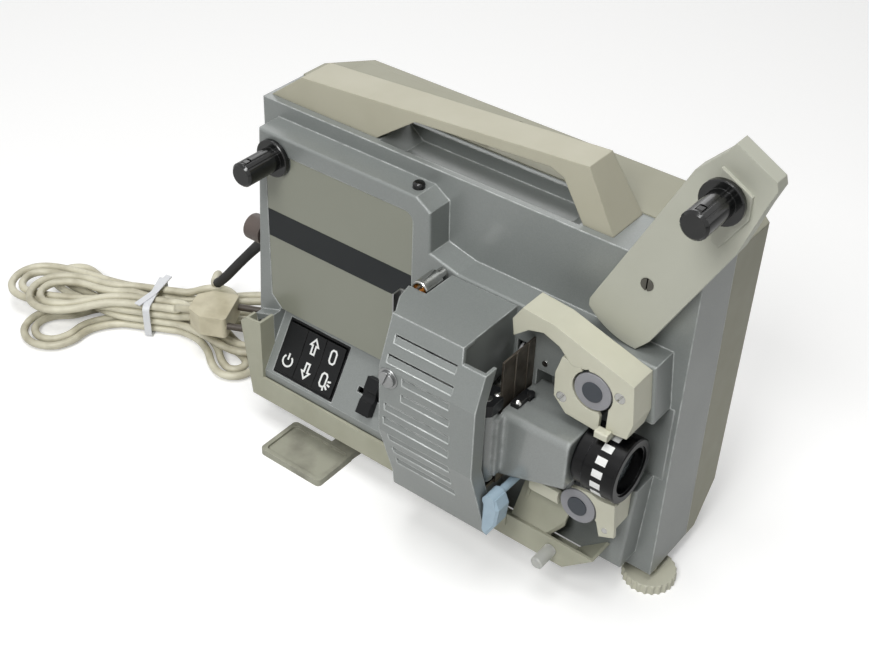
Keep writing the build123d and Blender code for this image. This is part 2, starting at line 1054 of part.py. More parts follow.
def front_foot():
    disc = along_z(levelling_x, levelling_depth, levelling_radius, 0, levelling_thickness)
    disc = chamfer(disc.edges().sort_by(Axis.Z)[-1], edge_round / 2)
    for index in range(levelling_scallops):
        angle = 2 * math.pi * index / levelling_scallops
        disc = disc - along_z(
            levelling_x + (levelling_radius + levelling_scallop_radius / 2) * math.cos(angle),
            levelling_depth + (levelling_radius + levelling_scallop_radius / 2) * math.sin(angle),
            levelling_scallop_radius,
            -overrun,
            levelling_thickness + overrun,
        )
    stem = along_z(levelling_x, levelling_depth, levelling_stem_radius, levelling_thickness, body_bottom + cast_wall + overrun)
    return disc + stem


def swing_pad():
    pad = bar(pad_left, pad_left + pad_length, pad_front, pad_front + pad_width, 0, pad_thickness)
    pad = fillet(pad.edges().filter_by(Axis.Z), pad_corner_round)
    pocket = bar(
        pad_left + pad_rim,
        pad_left + pad_length - pad_rim,
        pad_front + pad_rim,
        pad_front + pad_width - pad_rim,
        pad_thickness - pad_pocket,
        pad_thickness + overrun,
    )
    pad = pad - fillet(pocket.edges().filter_by(Axis.Z), pad_corner_round)
    neck = [
        (pad_pivot_x - pad_boss_radius, pad_pivot_depth),
        (pad_pivot_x - pad_boss_radius, pad_front + pad_width - pad_rim),
        (pad_pivot_x + pad_boss_radius * 2 / 3, pad_front + pad_width - pad_rim),
        (pad_pivot_x + pad_boss_radius, pad_pivot_depth),
    ]
    pad = pad + level_prism(outline_face(neck), 0, pad_thickness)
    pad = pad + along_z(pad_pivot_x, pad_pivot_depth, pad_boss_radius, 0, body_bottom - base_thickness - running_gap)
    bore = along_z(pad_pivot_x, pad_pivot_depth, pad_screw_radius + shaft_gap, -overrun, body_bottom + overrun)
    sink = along_z(pad_pivot_x, pad_pivot_depth, pad_screw_radius * 2, -overrun, pad_thickness - pad_rim / 2)
    return pad - bore - sink


def pad_screw():
    shank = along_z(pad_pivot_x, pad_pivot_depth, pad_screw_radius, pad_rim / 2, body_bottom)
    head = along_z(
        pad_pivot_x, pad_pivot_depth, pad_screw_radius * 2 - running_gap, pad_rim / 4, pad_thickness - pad_rim / 2 - running_gap
    )
    slot = bar(
        pad_pivot_x - pad_screw_radius * 2,
        pad_pivot_x + pad_screw_radius * 2,
        pad_pivot_depth - running_gap,
        pad_pivot_depth + running_gap,
        0,
        pad_rim / 2,
    )
    return shank + head - slot


def switch_block():
    width = key_row_width()
    outer_left = key_left - key_block_wall + running_gap / 2
    outer_right = key_left + width + key_block_wall - running_gap / 2
    top = key_top_offset - key_block_wall + running_gap / 2
    bottom = key_top_offset + key_length + key_block_wall - running_gap / 2
    block = slope_box(outer_left, outer_right, top, bottom, -key_block_depth, 0)
    lug = slope_box(outer_left, outer_right, top - key_block_wall * 2, top, -slope_thickness * 2, -slope_thickness)
    half_gap = key_gap / 2
    well = slope_box(
        key_left - half_gap,
        key_left + width + half_gap,
        key_top_offset + running_gap / 2,
        key_top_offset + key_length - running_gap / 2,
        -key_depth - key_well_gap * 2,
        overrun,
    )
    middle = key_top_offset + key_length / 2
    axle = along_x(-middle, key_proud - key_pivot_depth - key_dip, key_pivot_radius, outer_left - slope_left, outer_right - slope_left)
    return block + lug - well + slope_plane() * axle


def rocker_key(index):
    left = key_left + index * (key_width + key_gap)
    half = key_length / 2 - key_well_gap
    middle = key_top_offset + key_length / 2
    pivot = key_proud - key_pivot_depth - key_dip
    profile = [
        (-half, key_proud),
        (0, key_proud - key_dip),
        (half, key_proud),
        (half, key_proud - key_side),
        (half / 4, -key_depth + key_proud),
        (-half / 4, -key_depth + key_proud),
        (-half, key_proud - key_side),
    ]
    key = Pos(0, -middle, 0) * side_prism(outline_face(profile), left - slope_left, left - slope_left + key_width)
    bore = along_x(-middle, pivot, key_pivot_radius + shaft_gap, left - slope_left - overrun, left - slope_left + key_width + overrun)
    return slope_plane() * (key - bore)


def speed_lever():
    half = lever_width / 2
    knob = slope_box(
        lever_x - half,
        lever_x + half,
        lever_offset - lever_length / 2,
        lever_offset + lever_length / 2,
        running_gap,
        lever_height,
    )
    waist = slope_plane() * along_x(
        -lever_offset, lever_height + lever_width / 3, lever_width / 2, lever_x - half * 2 - slope_left, lever_x + half * 2 - slope_left
    )
    stem = slope_box(
        lever_x - lever_slot_width / 2,
        lever_x + lever_slot_width / 2,
        lever_offset - lever_slot_width / 2 + running_gap,
        lever_offset + lever_slot_width / 2 - running_gap,
        -slope_thickness - running_gap,
        running_gap,
    )
    keeper = slope_box(
        lever_x - half,
        lever_x + half,
        lever_offset - lever_slot_width,
        lever_offset + lever_slot_width,
        -slope_thickness * 2,
        -slope_thickness - running_gap,
    )
    return knob - waist + stem + keeper


def top_button():
    wall_bottom = face_top - cast_wall
    button = along_z(button_x, button_depth, button_radius, wall_bottom - running_gap, face_top + button_rise)
    button = fillet(button.edges().sort_by(Axis.Z)[-1], button_radius / 2)
    collar = along_z(
        button_x, button_depth, button_radius + button_collar, wall_bottom - running_gap - button_collar, wall_bottom - running_gap
    )
    return button + collar


def upright_points():
    return [
        (upright_foot, rail_bottom),
        (upright_left, upright_top),
        (upright_left + rail_wall * 2.5, upright_ridge - edge_round),
        (slope_left, upright_ridge),
        (slope_left, rail_top),
        (rail_top_right, rail_top),
        (rail_bottom_right, rail_bottom),
    ]


def film_channel():
    channel = front_prism(outline_face(upright_points()), rail_front, rail_front + rail_wall)
    floor = bar(upright_foot, rail_bottom_right, rail_front, -running_gap, rail_bottom, rail_bottom + rail_wall)
    left_wall = [
        (upright_foot, rail_bottom),
        (upright_left, upright_top),
        (upright_left + rail_wall, upright_top),
        (upright_foot + rail_wall, rail_bottom),
    ]
    left_side = front_prism(outline_face(left_wall), rail_front, -pillar_depth)
    foot_wall = [
        (upright_foot, rail_bottom),
        (upright_foot - rail_wall, rail_top),
        (upright_foot + rail_wall / 2, rail_top),
        (upright_foot + rail_wall, rail_bottom),
    ]
    foot_side = front_prism(outline_face(foot_wall), -pillar_depth, -running_gap)
    right_side = bar(slope_left - rail_wall, slope_left, rail_front, -pillar_depth, rail_top, upright_ridge)
    end_wall = [
        (rail_bottom_right, rail_bottom),
        (rail_top_right, rail_top),
        (rail_top_right - rail_wall, rail_top),
        (rail_bottom_right - rail_wall, rail_bottom),
    ]
    end_side = front_prism(outline_face(end_wall), rail_front, -running_gap)
    stop = bar(
        film_guide_left - rail_wall * 2,
        film_guide_left - rail_wall,
        rail_front - rail_wall / 2,
        rail_front,
        rail_top - loop_hub_radius * 2,
        rail_top,
    )
    pin = along_y(exit_roller_x, exit_roller_height, exit_roller_pin, rail_front, -pillar_depth)
    knob_hole = along_y(rail_knob_x, rail_knob_height, rail_knob_stem + shaft_gap, rail_front - overrun, rail_front + rail_wall + overrun)
    return channel + floor + left_side + foot_side + right_side + end_side + stop + pin - knob_hole


def exit_roller():
    front = rail_front + rail_wall + running_gap
    back = -pillar_depth - running_gap
    roller = along_y(exit_roller_x, exit_roller_height, exit_roller_radius, front, back)
    middle = (front + back) / 2
    waist = along_y(exit_roller_x, exit_roller_height, exit_roller_radius + overrun, middle - film_width / 4, middle + film_width / 4)
    waist = waist - along_y(exit_roller_x, exit_roller_height, exit_roller_radius * 0.8, front, back)
    return roller - waist - along_y(exit_roller_x, exit_roller_height, exit_roller_pin + shaft_gap, front - overrun, back + overrun)


def rail_knob():
    knob = along_y(rail_knob_x, rail_knob_height, rail_knob_radius, rail_front - rail_knob_length, rail_front - running_gap)
    knob = chamfer(knob.edges().sort_by(Axis.Y)[0], rail_knob_radius / 4)
    stem = along_y(rail_knob_x, rail_knob_height, rail_knob_stem, rail_front - running_gap, rail_front + rail_wall + running_gap)
    keeper = along_y(
        rail_knob_x,
        rail_knob_height,
        rail_knob_stem * 1.6,
        rail_front + rail_wall + running_gap,
        rail_front + rail_wall * 1.8 + running_gap,
    )
    return knob + stem + keeper


def lower_film_guide():
    side = [
        (rail_front + rail_wall, rail_top - rail_wall * 2),
        (rail_front + rail_wall * 2, rail_top - rail_wall * 2),
        (rail_front + rail_wall * 2, rail_top - rail_wall / 2),
        (-rail_wall, rail_top + film_guide_rise - rail_wall),
        (0, rail_top + film_guide_rise - rail_wall),
        (0, rail_top + film_guide_rise),
        (-rail_wall * 1.5, rail_top + film_guide_rise),
        (rail_front + rail_wall, rail_top),
    ]
    guide = side_prism(outline_face(side), film_guide_left, film_guide_right)
    plan = [
        (film_guide_right - film_guide_notch, rail_front),
        (film_guide_right + overrun, -overrun),
        (film_guide_right + overrun, rail_front),
    ]
    guide = guide - level_prism(outline_face(plan), rail_bottom, rail_top + film_guide_rise + overrun)
    bead = [
        (rail_front + rail_wall * 4, rail_top + film_guide_rise * 0.28),
        (rail_front + rail_wall * 4, rail_top + film_guide_rise * 0.28 + rail_wall),
        (-rail_wall * 3, rail_top + film_guide_rise),
        (-rail_wall * 3, rail_top + film_guide_rise - rail_wall * 2),
    ]
    ridge = side_prism(outline_face(bead), film_guide_left + rail_wall * 2, film_guide_left + rail_wall * 3)
    return guide + ridge


def rim_walls(outer_face, y0, y1, wall):
    outer = front_prism(outer_face, y0, y1)
    inner = front_prism(offset(outer_face, amount=-wall, kind=Kind.INTERSECTION), y0, y1)
    return outer - inner


def disc_window(height):
    return along_y(sprocket_x, height, face_disc_radius + disc_window_gap, guard_front - overrun, 0)


def upper_guard():
    outline = guard_outer_shares + guard_arch_shares
    points = from_shares(outline, guard_left, guard_bottom, guard_length, guard_height)
    guard = front_prism(outline_face(points), guard_front, 0)
    pocket_points = [
        (guard_left + guard_length * 0.30, guard_bottom + guard_height * 0.40),
        (guard_left + guard_length * 0.50, guard_bottom + guard_height * 0.80),
        (guard_left + guard_length * 0.90, guard_bottom + guard_height * 0.62),
        (guard_left + guard_length * 0.94, guard_bottom + guard_height * 0.24),
        (guard_left + guard_length * 0.94, guard_bottom - overrun),
        (guard_left + guard_length * 0.50, guard_bottom - overrun),
    ]
    pocket = front_prism(outline_face(pocket_points), guard_front + guide_wall, overrun)
    post = along_y(guard_screw_x, guard_screw_height, guard_screw_radius + guide_wall, guard_front + guide_wall / 2, 0)
    post = post & front_prism(outline_face(points), guard_front, 0)
    guard = guard - pocket + post - disc_window(upper_sprocket_height)
    seat = along_y(guard_screw_x, guard_screw_height, guard_screw_radius + shaft_gap, guard_front - overrun, guard_front + guide_wall)
    bore = along_y(guard_screw_x, guard_screw_height, guard_screw_radius / 2 + shaft_gap, guard_front, overrun)
    return guard - seat - bore


def upper_shoe():
    points = from_shares(shoe_shares, shoe_left, shoe_bottom, shoe_length, shoe_height)
    plate = front_prism(outline_face(points), guard_front, guard_front + shoe_thickness)
    plate = plate - disc_window(upper_sprocket_height)
    guard_points = from_shares(guard_outer_shares + guard_arch_shares, guard_left, guard_bottom, guard_length, guard_height)
    plate = plate - front_prism(outline_face(guard_points), guard_front - overrun, overrun)
    post = along_y(shoe_boss_x, shoe_boss_height, shoe_boss_radius + guide_wall / 2, guard_front + shoe_thickness / 2, 0)
    tab = bar(
        shoe_tab_left,
        shoe_tab_left + shoe_tab_width,
        guard_front - shoe_tab_reach,
        guard_front,
        guard_bottom - shoe_tab_height / 2,
        guard_bottom + shoe_tab_height / 2,
    )
    tab = chamfer(tab.edges().filter_by(Axis.X), edge_round / 2)
    bridge = bar(
        shoe_tab_left - guide_wall * 2,
        shoe_tab_left + shoe_tab_width,
        guard_front,
        guard_front + shoe_thickness,
        guard_bottom - shoe_tab_height / 2,
        guard_bottom - running_gap / 2,
    )
    shoe = plate + post + tab + bridge
    bore = along_y(shoe_boss_x, shoe_boss_height, shoe_boss_radius / 2 + shaft_gap, guard_front - overrun, overrun)
    seat = along_y(shoe_boss_x, shoe_boss_height, shoe_boss_radius + shaft_gap, guard_front - overrun, guard_front + shoe_thickness / 2)
    return shoe - bore - seat


def lower_shoe():
    points = from_shares(lower_shoe_shares, lower_shoe_left, lower_shoe_bottom, lower_shoe_length, lower_shoe_height)
    front = front_prism(outline_face(points), guard_front, guard_front + shoe_thickness)
    top = lower_shoe_bottom + lower_shoe_height
    right = lower_shoe_left + lower_shoe_length
    ledge = bar(
        right - lower_shoe_length * 0.55, right - lower_shoe_length * 0.08, guard_front, -running_gap, top - guide_wall - edge_round, top - edge_round
    )
    side_face = [
        (right - guide_wall, lower_shoe_bottom + guide_wall * 3),
        (right - guide_wall, top - edge_round),
        (right - guide_wall * 2, top - edge_round),
        (right - guide_wall * 2, lower_shoe_bottom + guide_wall * 3),
    ]
    side_wall = front_prism(outline_face(side_face), guard_front, -running_gap)
    shoe = front + ledge + side_wall
    tongue_right = sprocket_x - face_disc_radius
    tongue = bar(
        lower_tongue_left,
        tongue_right + guide_wall,
        guard_front - edge_round,
        guard_front - edge_round + shoe_thickness,
        lower_tongue_bottom,
        lower_tongue_bottom + lower_tongue_height,
    )
    tongue = chamfer(tongue.edges().filter_by(Axis.Y).group_by(Axis.Z)[0], edge_round)
    window = disc_window(lower_sprocket_height)
    pin_hole = along_y(lower_pin_x, lower_pin_height, lower_pin_radius + shaft_gap, guard_front - overrun, 0)
    return Compound(children=[shoe - window - pin_hole, tongue - window])


def slotted_head(x, height, radius, face, thickness, shank_radius, shank_end):
    head = along_y(x, height, radius, face, face + thickness)
    slot = bar(x - running_gap, x + running_gap, face - overrun, face + thickness / 2, height - radius, height + radius)
    slot = Pos(x, 0, height) * Rot(0, 30, 0) * Pos(-x, 0, -height) * slot
    return head - slot + along_y(x, height, shank_radius, face + thickness, shank_end)


def face_screws():
    """The screws, the pin and the rivet that go into the operating face, and the screw of the reel arm."""
    guard_screw = slotted_head(
        guard_screw_x, guard_screw_height, guard_screw_radius, guard_front, guide_wall, guard_screw_radius / 2, cast_wall
    )
    shoe_screw = slotted_head(
        shoe_boss_x, shoe_boss_height, shoe_boss_radius, guard_front, shoe_thickness / 2, shoe_boss_radius / 2, cast_wall
    )
    pin = along_y(lower_pin_x, lower_pin_height, lower_pin_radius, guard_front, cast_wall)
    rivet = along_y(rivet_x, rivet_height, rivet_radius, -edge_round / 2, 0)
    rivet = rivet + along_y(rivet_x, rivet_height, rivet_radius / 2, 0, cast_wall)
    return Compound(children=[guard_screw, shoe_screw, pin, rivet, arm_pivot_screw()])


def sprocket(height):
    drum = along_y(sprocket_x, height, sprocket_radius, film_front, film_back)
    face = along_y(sprocket_x, height, face_disc_radius, sprocket_face, sprocket_face + face_disc_thickness)
    face = chamfer(face.edges().sort_by(Axis.Y)[0], face_disc_thickness / 4)
    cap = along_y(sprocket_x, height, sprocket_cap_radius, sprocket_face - sprocket_cap_rise, sprocket_face)
    rear = along_y(sprocket_x, height, face_disc_radius, film_back, film_back + face_disc_thickness)
    hub = along_y(sprocket_x, height, sprocket_shaft_radius * 2, film_back + face_disc_thickness, -running_gap)
    shaft = along_y(sprocket_x, height, sprocket_shaft_radius, -running_gap, sprocket_shaft_end)
    wheel = along_y(sprocket_x, height, worm_wheel_radius, worm_wheel_depth, worm_wheel_depth + worm_wheel_width)
    piece = drum + face + cap + rear + hub + shaft + wheel
    tooth_back = film_back
    for index in range(sprocket_teeth):
        tooth = bar(
            sprocket_radius - tooth_height,
            sprocket_radius + tooth_height,
            tooth_back - tooth_width,
            tooth_back,
            -tooth_width / 2,
            tooth_width / 2,
        )
        turn = 360.0 * index / sprocket_teeth
        piece = piece + Pos(sprocket_x, 0, height) * Rot(0, turn, 0) * tooth
    return piece


def gate_plate():
    plate = bar(gate_face, gate_face + gate_thickness, -gate_depth, -shaft_gap, gate_foot, gate_top)
    plate = plate + bar(gate_face, gate_face + gate_thickness, -shaft_gap, gate_tail, recess_bottom, recess_top)
    tab = bar(
        hinge_block_left,
        gate_face,
        hinge_y - hinge_column_radius,
        -gate_depth + hinge_block_bevel,
        gate_foot,
        gate_foot + gate_tab_thickness,
    )
    aperture = bar(
        gate_face - overrun,
        gate_face + overrun,
        film_middle - aperture_width / 2,
        film_middle + aperture_width / 2,
        optical_height - aperture_height / 2,
        optical_height + aperture_height / 2,
    )
    claw_slot = bar(
        gate_face - overrun,
        gate_face + overrun,
        perforation_depth - claw_slot_width / 2,
        perforation_depth + claw_slot_width / 2,
        optical_height - claw_slot_length * 1.6,
        optical_height - claw_slot_length * 0.6,
    )
    plate = plate + tab - aperture - claw_slot
    right = gate_face + gate_thickness
    for depth in (film_front - gate_rail_width, film_back):
        plate = plate + bar(right, right + gate_rail_rise, depth, depth + gate_rail_width, recess_bottom, gate_top)
    bore = along_z(hinge_x, hinge_y, hinge_pin_radius + shaft_gap, gate_foot - overrun, gate_foot + overrun)
    return plate - bore


def hinge_block():
    block = bar(
        hinge_block_left,
        hinge_block_right,
        hinge_block_front,
        hinge_block_back,
        hinge_block_bottom,
        hinge_block_bottom + hinge_block_height,
    )
    corners = block.edges().filter_by(Axis.Z).sort_by(Axis.X)[-2:].sort_by(Axis.Y)
    block = chamfer(corners[0], hinge_block_bevel)
    plate_slot = bar(
        gate_face,
        hinge_block_right + overrun,
        -gate_depth,
        hinge_block_back + overrun,
        hinge_block_bottom - overrun,
        hinge_block_bottom + hinge_block_height + overrun,
    )
    bore = along_z(hinge_x, hinge_y, hinge_pin_radius + shaft_gap, 0, hinge_block_bottom + hinge_block_height + overrun)
    return block - plate_slot - bore


def hinge_pin():
    top = hinge_block_bottom + hinge_block_height
    pin = along_z(hinge_x, hinge_y, hinge_pin_radius, gate_foot, top)
    head = along_z(hinge_x, hinge_y, hinge_pin_radius * 1.5, top, top + edge_round / 2)
    return pin + head


def lens_carrier():
    side = [
        (carrier_left, carrier_foot_left),
        (carrier_right, carrier_foot_right),
        (carrier_right, carrier_top),
        (carrier_left, carrier_top),
    ]
    block = front_prism(outline_face(side), carrier_front, carrier_back)
    front_top = block.edges().filter_by(Axis.X).group_by(Axis.Y)[0]
    block = fillet(front_top, carrier_round)
    inner = [
        (carrier_left + carrier_wall, carrier_foot_left + carrier_wall),
        (carrier_right - carrier_wall, carrier_foot_right + carrier_wall),
        (carrier_right - carrier_wall, carrier_top - carrier_wall),
        (carrier_left + carrier_wall, carrier_top - carrier_wall),
    ]
    block = block - front_prism(outline_face(inner), carrier_front + carrier_wall, carrier_back + overrun)
    sleeve = along_x(film_middle, optical_height, barrel_radius + shaft_gap + carrier_wall / 2, barrel_tail, carrier_right)
    keep = front_prism(outline_face(side), carrier_front, carrier_back)
    block = block + (sleeve & keep)
    bore = along_x(film_middle, optical_height, barrel_radius + shaft_gap, carrier_left - overrun, carrier_right + overrun)
    block = block - bore
    column = along_z(hinge_x, hinge_y, hinge_column_radius, column_bottom, hinge_block_bottom - running_gap)
    web = bar(
        hinge_x,
        carrier_left + carrier_wall,
        hinge_y - carrier_wall / 2,
        carrier_front + carrier_wall * 2,
        carrier_foot_left + carrier_wall,
        carrier_top - carrier_wall,
    )
    block = block + column + web
    notch = bar(
        finger_left - running_gap,
        finger_left + finger_reach * finger_arm_share,
        film_middle - finger_width / 2 - running_gap,
        film_middle + finger_width / 2 + running_gap,
        carrier_top - carrier_wall - overrun,
        carrier_top + overrun,
    )
    clearance = bar(
        gate_face - overrun,
        gate_face + gate_thickness + gate_rail_rise + running_gap,
        -gate_depth - running_gap,
        carrier_back + overrun,
        gate_foot,
        gate_top,
    )
    behind_face = bar(
        carrier_left - overrun,
        recess_left + running_gap,
        -running_gap,
        carrier_back + overrun,
        0,
        carrier_top + overrun,
    )
    below_recess = bar(
        carrier_left - overrun,
        carrier_right + overrun,
        -running_gap,
        carrier_back + overrun,
        0,
        recess_bottom + running_gap,
    )
    block = block - notch - clearance - behind_face - below_recess
    return block - along_z(hinge_x, hinge_y, hinge_pin_radius + shaft_gap, 0, carrier_top + overrun)


def gate_finger():
    bottom = carrier_top
    lever = bar(
        finger_left,
        finger_left + finger_width,
        film_middle - finger_reach * 0.8,
        film_middle + finger_width / 2,
        bottom,
        bottom + finger_height,
    )
    arm = bar(
        finger_left,
        finger_left + finger_reach * finger_arm_share - running_gap,
        film_middle - finger_width / 2,
        film_middle + finger_width / 2,
        bottom - finger_notch_depth / 2,
        bottom + finger_height,
    )
    tip = along_z(
        finger_left + finger_reach * 0.32,
        film_middle,
        finger_tip_radius,
        bottom + finger_height,
        bottom + finger_height + finger_tip_radius / 2,
    )
    return lever + arm + tip


def lens_barrel():
    profile = [
        (lens_bore_radius, barrel_tail),
        (barrel_radius, barrel_tail),
        (barrel_radius, carrier_right + running_gap),
        (barrel_flange_radius - edge_round, carrier_right + running_gap),
        (barrel_flange_radius, carrier_right + running_gap + edge_round),
        (barrel_flange_radius, barrel_flange_end),
        (barrel_nose_radius, barrel_flange_end),
        (barrel_nose_radius, barrel_front),
        (lens_bore_radius, barrel_front),
    ]
    turned = revolve(outline_face(profile), axis=Axis.Y)
    seat = along_x(0, 0, lens_bore_radius + edge_round, lens_glass_left, barrel_front + overrun)
    barrel = Pos(0, film_middle, optical_height) * Rot(0, 0, -90) * turned
    return barrel - Pos(0, film_middle, optical_height) * seat


def zoom_ring():
    ring = along_x(film_middle, optical_height, ring_radius, ring_left, ring_right)
    ring = chamfer(ring.edges().group_by(Axis.X)[-1], edge_round / 2)
    bore = along_x(film_middle, optical_height, barrel_nose_radius + shaft_gap, ring_left - overrun, ring_right + overrun)
    return ring - bore


def front_lens():
    radius = lens_bore_radius + edge_round
    right = lens_glass_left + lens_glass_thickness
    sphere_radius = (radius**2 + lens_bulge**2) / (2 * lens_bulge)
    dome = Pos(right + lens_bulge - sphere_radius, film_middle, optical_height) * Sphere(sphere_radius)
    return along_x(film_middle, optical_height, radius, lens_glass_left, right + lens_bulge) & dome


def lamp_profile(inset):
    return [
        (overrun, lamp_top - inset),
        (-lamp_top_reach + inset, lamp_top - inset),
        (-lamp_reach + inset, lamp_upper_bend),
        (-lamp_reach + inset, lamp_lower_bend),
        (-lamp_bottom_reach + inset, lamp_bottom + inset),
        (overrun, lamp_bottom + inset),
    ]


def lamp_plan(inset):
    return [
        (lamp_left + inset, 0),
        (lamp_left + inset, -lamp_rear_edge_depth),
        (lamp_bend_x + inset, -lamp_bend_depth),
        (lamp_corner_left + inset, -lamp_corner_depth),
        (lamp_corner_left + inset, -lamp_reach - overrun),
        (lamp_side_right - inset, -lamp_reach - overrun),
        (lamp_side_right - inset, 0),
    ]


def lamp_face_frame(height):
    """Point, downward direction and outward direction of the front panel at this height."""
    upper = ((-lamp_top_reach, lamp_top), (-lamp_reach, lamp_upper_bend))
    middle = ((-lamp_reach, lamp_upper_bend), (-lamp_reach, lamp_lower_bend))
    lower = ((-lamp_reach, lamp_lower_bend), (-lamp_bottom_reach, lamp_bottom))
    start, end = middle
    if height > lamp_upper_bend:
        start, end = upper
    if height < lamp_lower_bend:
        start, end = lower
    share = (start[1] - height) / (start[1] - end[1])
    depth = start[0] + share * (end[0] - start[0])
    length = math.hypot(end[0] - start[0], end[1] - start[1])
    down = ((end[0] - start[0]) / length, (end[1] - start[1]) / length)
    outward = (down[1], -down[0])
    return (depth, height), down, outward


def louvre(left, right, height):
    point, down, outward = lamp_face_frame(height)

    def place(along, out):
        return (
            point[0] + along * down[0] + out * outward[0],
            point[1] + along * down[1] + out * outward[1],
        )

    deep = lamp_wall * 0.8
    groove = [
        place(-louvre_height / 2, lamp_wall),
        place(-louvre_height / 2, -deep),
        place(louvre_height / 2, 0),
        place(louvre_height / 2, lamp_wall),
    ]
    slit = [
        place(-louvre_height / 2, lamp_wall),
        place(-louvre_height / 2, -lamp_wall - overrun / 2),
        place(-louvre_height / 2 + louvre_slit, -lamp_wall - overrun / 2),
        place(-louvre_height / 2 + louvre_slit, lamp_wall),
    ]
    cut = side_prism(outline_face(groove), left, right)
    return cut + side_prism(outline_face(slit), left, right)


def lamp_house_cover():
    outer = side_prism(outline_face(lamp_profile(0)), lamp_left, lamp_panel_right)
    body = outer & level_prism(outline_face(lamp_plan(0)), lamp_bottom - overrun, lamp_top + overrun)
    inner = side_prism(outline_face(lamp_profile(lamp_wall)), lamp_left, lamp_panel_right)
    inner = inner & level_prism(outline_face(lamp_plan(lamp_wall)), lamp_bottom - overrun, lamp_top + overrun)
    body = body - inner
    flange_cut = Pos(0, lamp_flange, 0) * side_prism(outline_face(lamp_profile(0)), lamp_side_right - lamp_wall, lamp_panel_right + overrun)
    flange = outer & bar(lamp_side_right - lamp_wall, lamp_panel_right, -lamp_reach - overrun, 0, lamp_bottom, lamp_top)
    flange_inner = side_prism(outline_face(lamp_profile(lamp_wall)), lamp_side_right - lamp_wall, lamp_panel_right - lamp_wall)
    facet = [
        (lamp_side_right, lamp_top + overrun),
        (lamp_side_right, lamp_top),
        (lamp_side_right + lamp_wall, lamp_top - lamp_ledge_drop),
        (lamp_panel_right + overrun, lamp_top - lamp_ledge_drop),
        (lamp_panel_right + overrun, lamp_top + overrun),
    ]
    flange = flange - flange_cut - flange_inner - front_prism(outline_face(facet), -lamp_reach - overrun, overrun)
    cover = body + flange
    cover = cover - bar(lamp_side_right - lamp_wall - overrun, lamp_panel_right + overrun, -shaft_gap, overrun * 2, 0, lamp_top + overrun)
    cover = cover - bar(lamp_left - overrun, lamp_panel_right, 0, overrun * 2, 0, lamp_top + overrun)
    notch_floor = framing_height - framing_radius - edge_round
    cover = cover - bar(lamp_left - overrun, pin_notch_right, -lamp_rear_edge_depth, overrun, notch_floor, lamp_top + overrun)
    window = along_x(film_middle, optical_height, lamp_rim_radius, lamp_side_right - lamp_wall - overrun, slot_left)
    cover = cover - window
    length = lamp_panel_right - lamp_left
    height = lamp_top - lamp_bottom
    for left, right, up in louvre_shares:
        cover = cover - louvre(lamp_left + left * length, lamp_left + right * length, lamp_bottom + up * height)
    screw_hole = along_y(cover_screw_x, cover_screw_height, cover_screw_shank + shaft_gap, -lamp_reach - overrun, 0)
    return cover - screw_hole


def cover_screw():
    face = -lamp_reach - cover_screw_head
    head = along_y(cover_screw_x, cover_screw_height, cover_screw_radius, face, -lamp_reach)
    head = chamfer(head.edges().sort_by(Axis.Y)[0], edge_round / 4)
    slot = bar(
        cover_screw_x - edge_round / 2,
        cover_screw_x + edge_round / 2,
        face - overrun,
        face + cover_screw_head / 2,
        cover_screw_height - cover_screw_radius,
        cover_screw_height + cover_screw_radius,
    )
    slot = Pos(cover_screw_x, 0, cover_screw_height) * Rot(0, 20, 0) * Pos(-cover_screw_x, 0, -cover_screw_height) * slot
    shank = along_y(cover_screw_x, cover_screw_height, cover_screw_shank, -lamp_reach, cast_wall)
    return head - slot + shank


def cover_clip():
    wall_x = lamp_left + (clip_front + lamp_rear_edge_depth) / (lamp_rear_edge_depth - lamp_bend_depth) * (lamp_bend_x - lamp_left)
    back = clip_front + clip_width
    foot = [
        (lamp_left - clip_thickness, back + clip_thickness),
        (lamp_left, back + clip_thickness),
        (lamp_left, -lamp_rear_edge_depth),
        (wall_x, clip_front),
        (wall_x - clip_thickness, clip_front),
        (lamp_left - clip_thickness, -lamp_rear_edge_depth),
    ]
    clip = level_prism(outline_face(foot), clip_bottom, clip_bottom + clip_height)
    lip = [
        (lamp_left - clip_thickness, back + clip_thickness),
        (lamp_left - clip_reach, back),
        (lamp_left - clip_reach, clip_front + clip_width / 3),
        (lamp_left - clip_reach + clip_thickness, clip_front + clip_width / 3),
        (lamp_left - clip_reach + clip_thickness, back - clip_thickness),
        (lamp_left - clip_thickness, back),
    ]
    return clip + level_prism(outline_face(lip), clip_bottom, clip_bottom + clip_height)


def lamp():
    wall = lamp_shell
    length = lamp_rim - lamp_neck
    outer = [
        (0, 0),
        (lamp_neck_radius, 0),
        (lamp_rim_radius * 0.72, length * 0.35),
        (lamp_rim_radius * 0.93, length * 0.72),
        (lamp_rim_radius, length),
        (lamp_rim_radius - wall, length),
        (lamp_rim_radius * 0.93 - wall, length * 0.72),
        (lamp_rim_radius * 0.72 - wall, length * 0.35 + wall / 2),
        (lamp_neck_radius - wall, wall * 2),
        (0, wall * 2),
    ]
    bowl = revolve(outline_face(outer), axis=Axis.Y)
    bulb = Pos(0, bulb_length / 2, 0) * Rot(90, 0, 0) * Cylinder(bulb_radius, bulb_length)
    turned = bowl + bulb
    for side in (-1, 1):
        pin = Pos(side * lamp_pin_spread, -lamp_pin_length / 2, 0) * Rot(90, 0, 0) * Cylinder(lamp_pin_radius, lamp_pin_length)
        turned = turned + pin
    return Pos(lamp_neck, film_middle, optical_height) * Rot(0, 0, -90) * turned


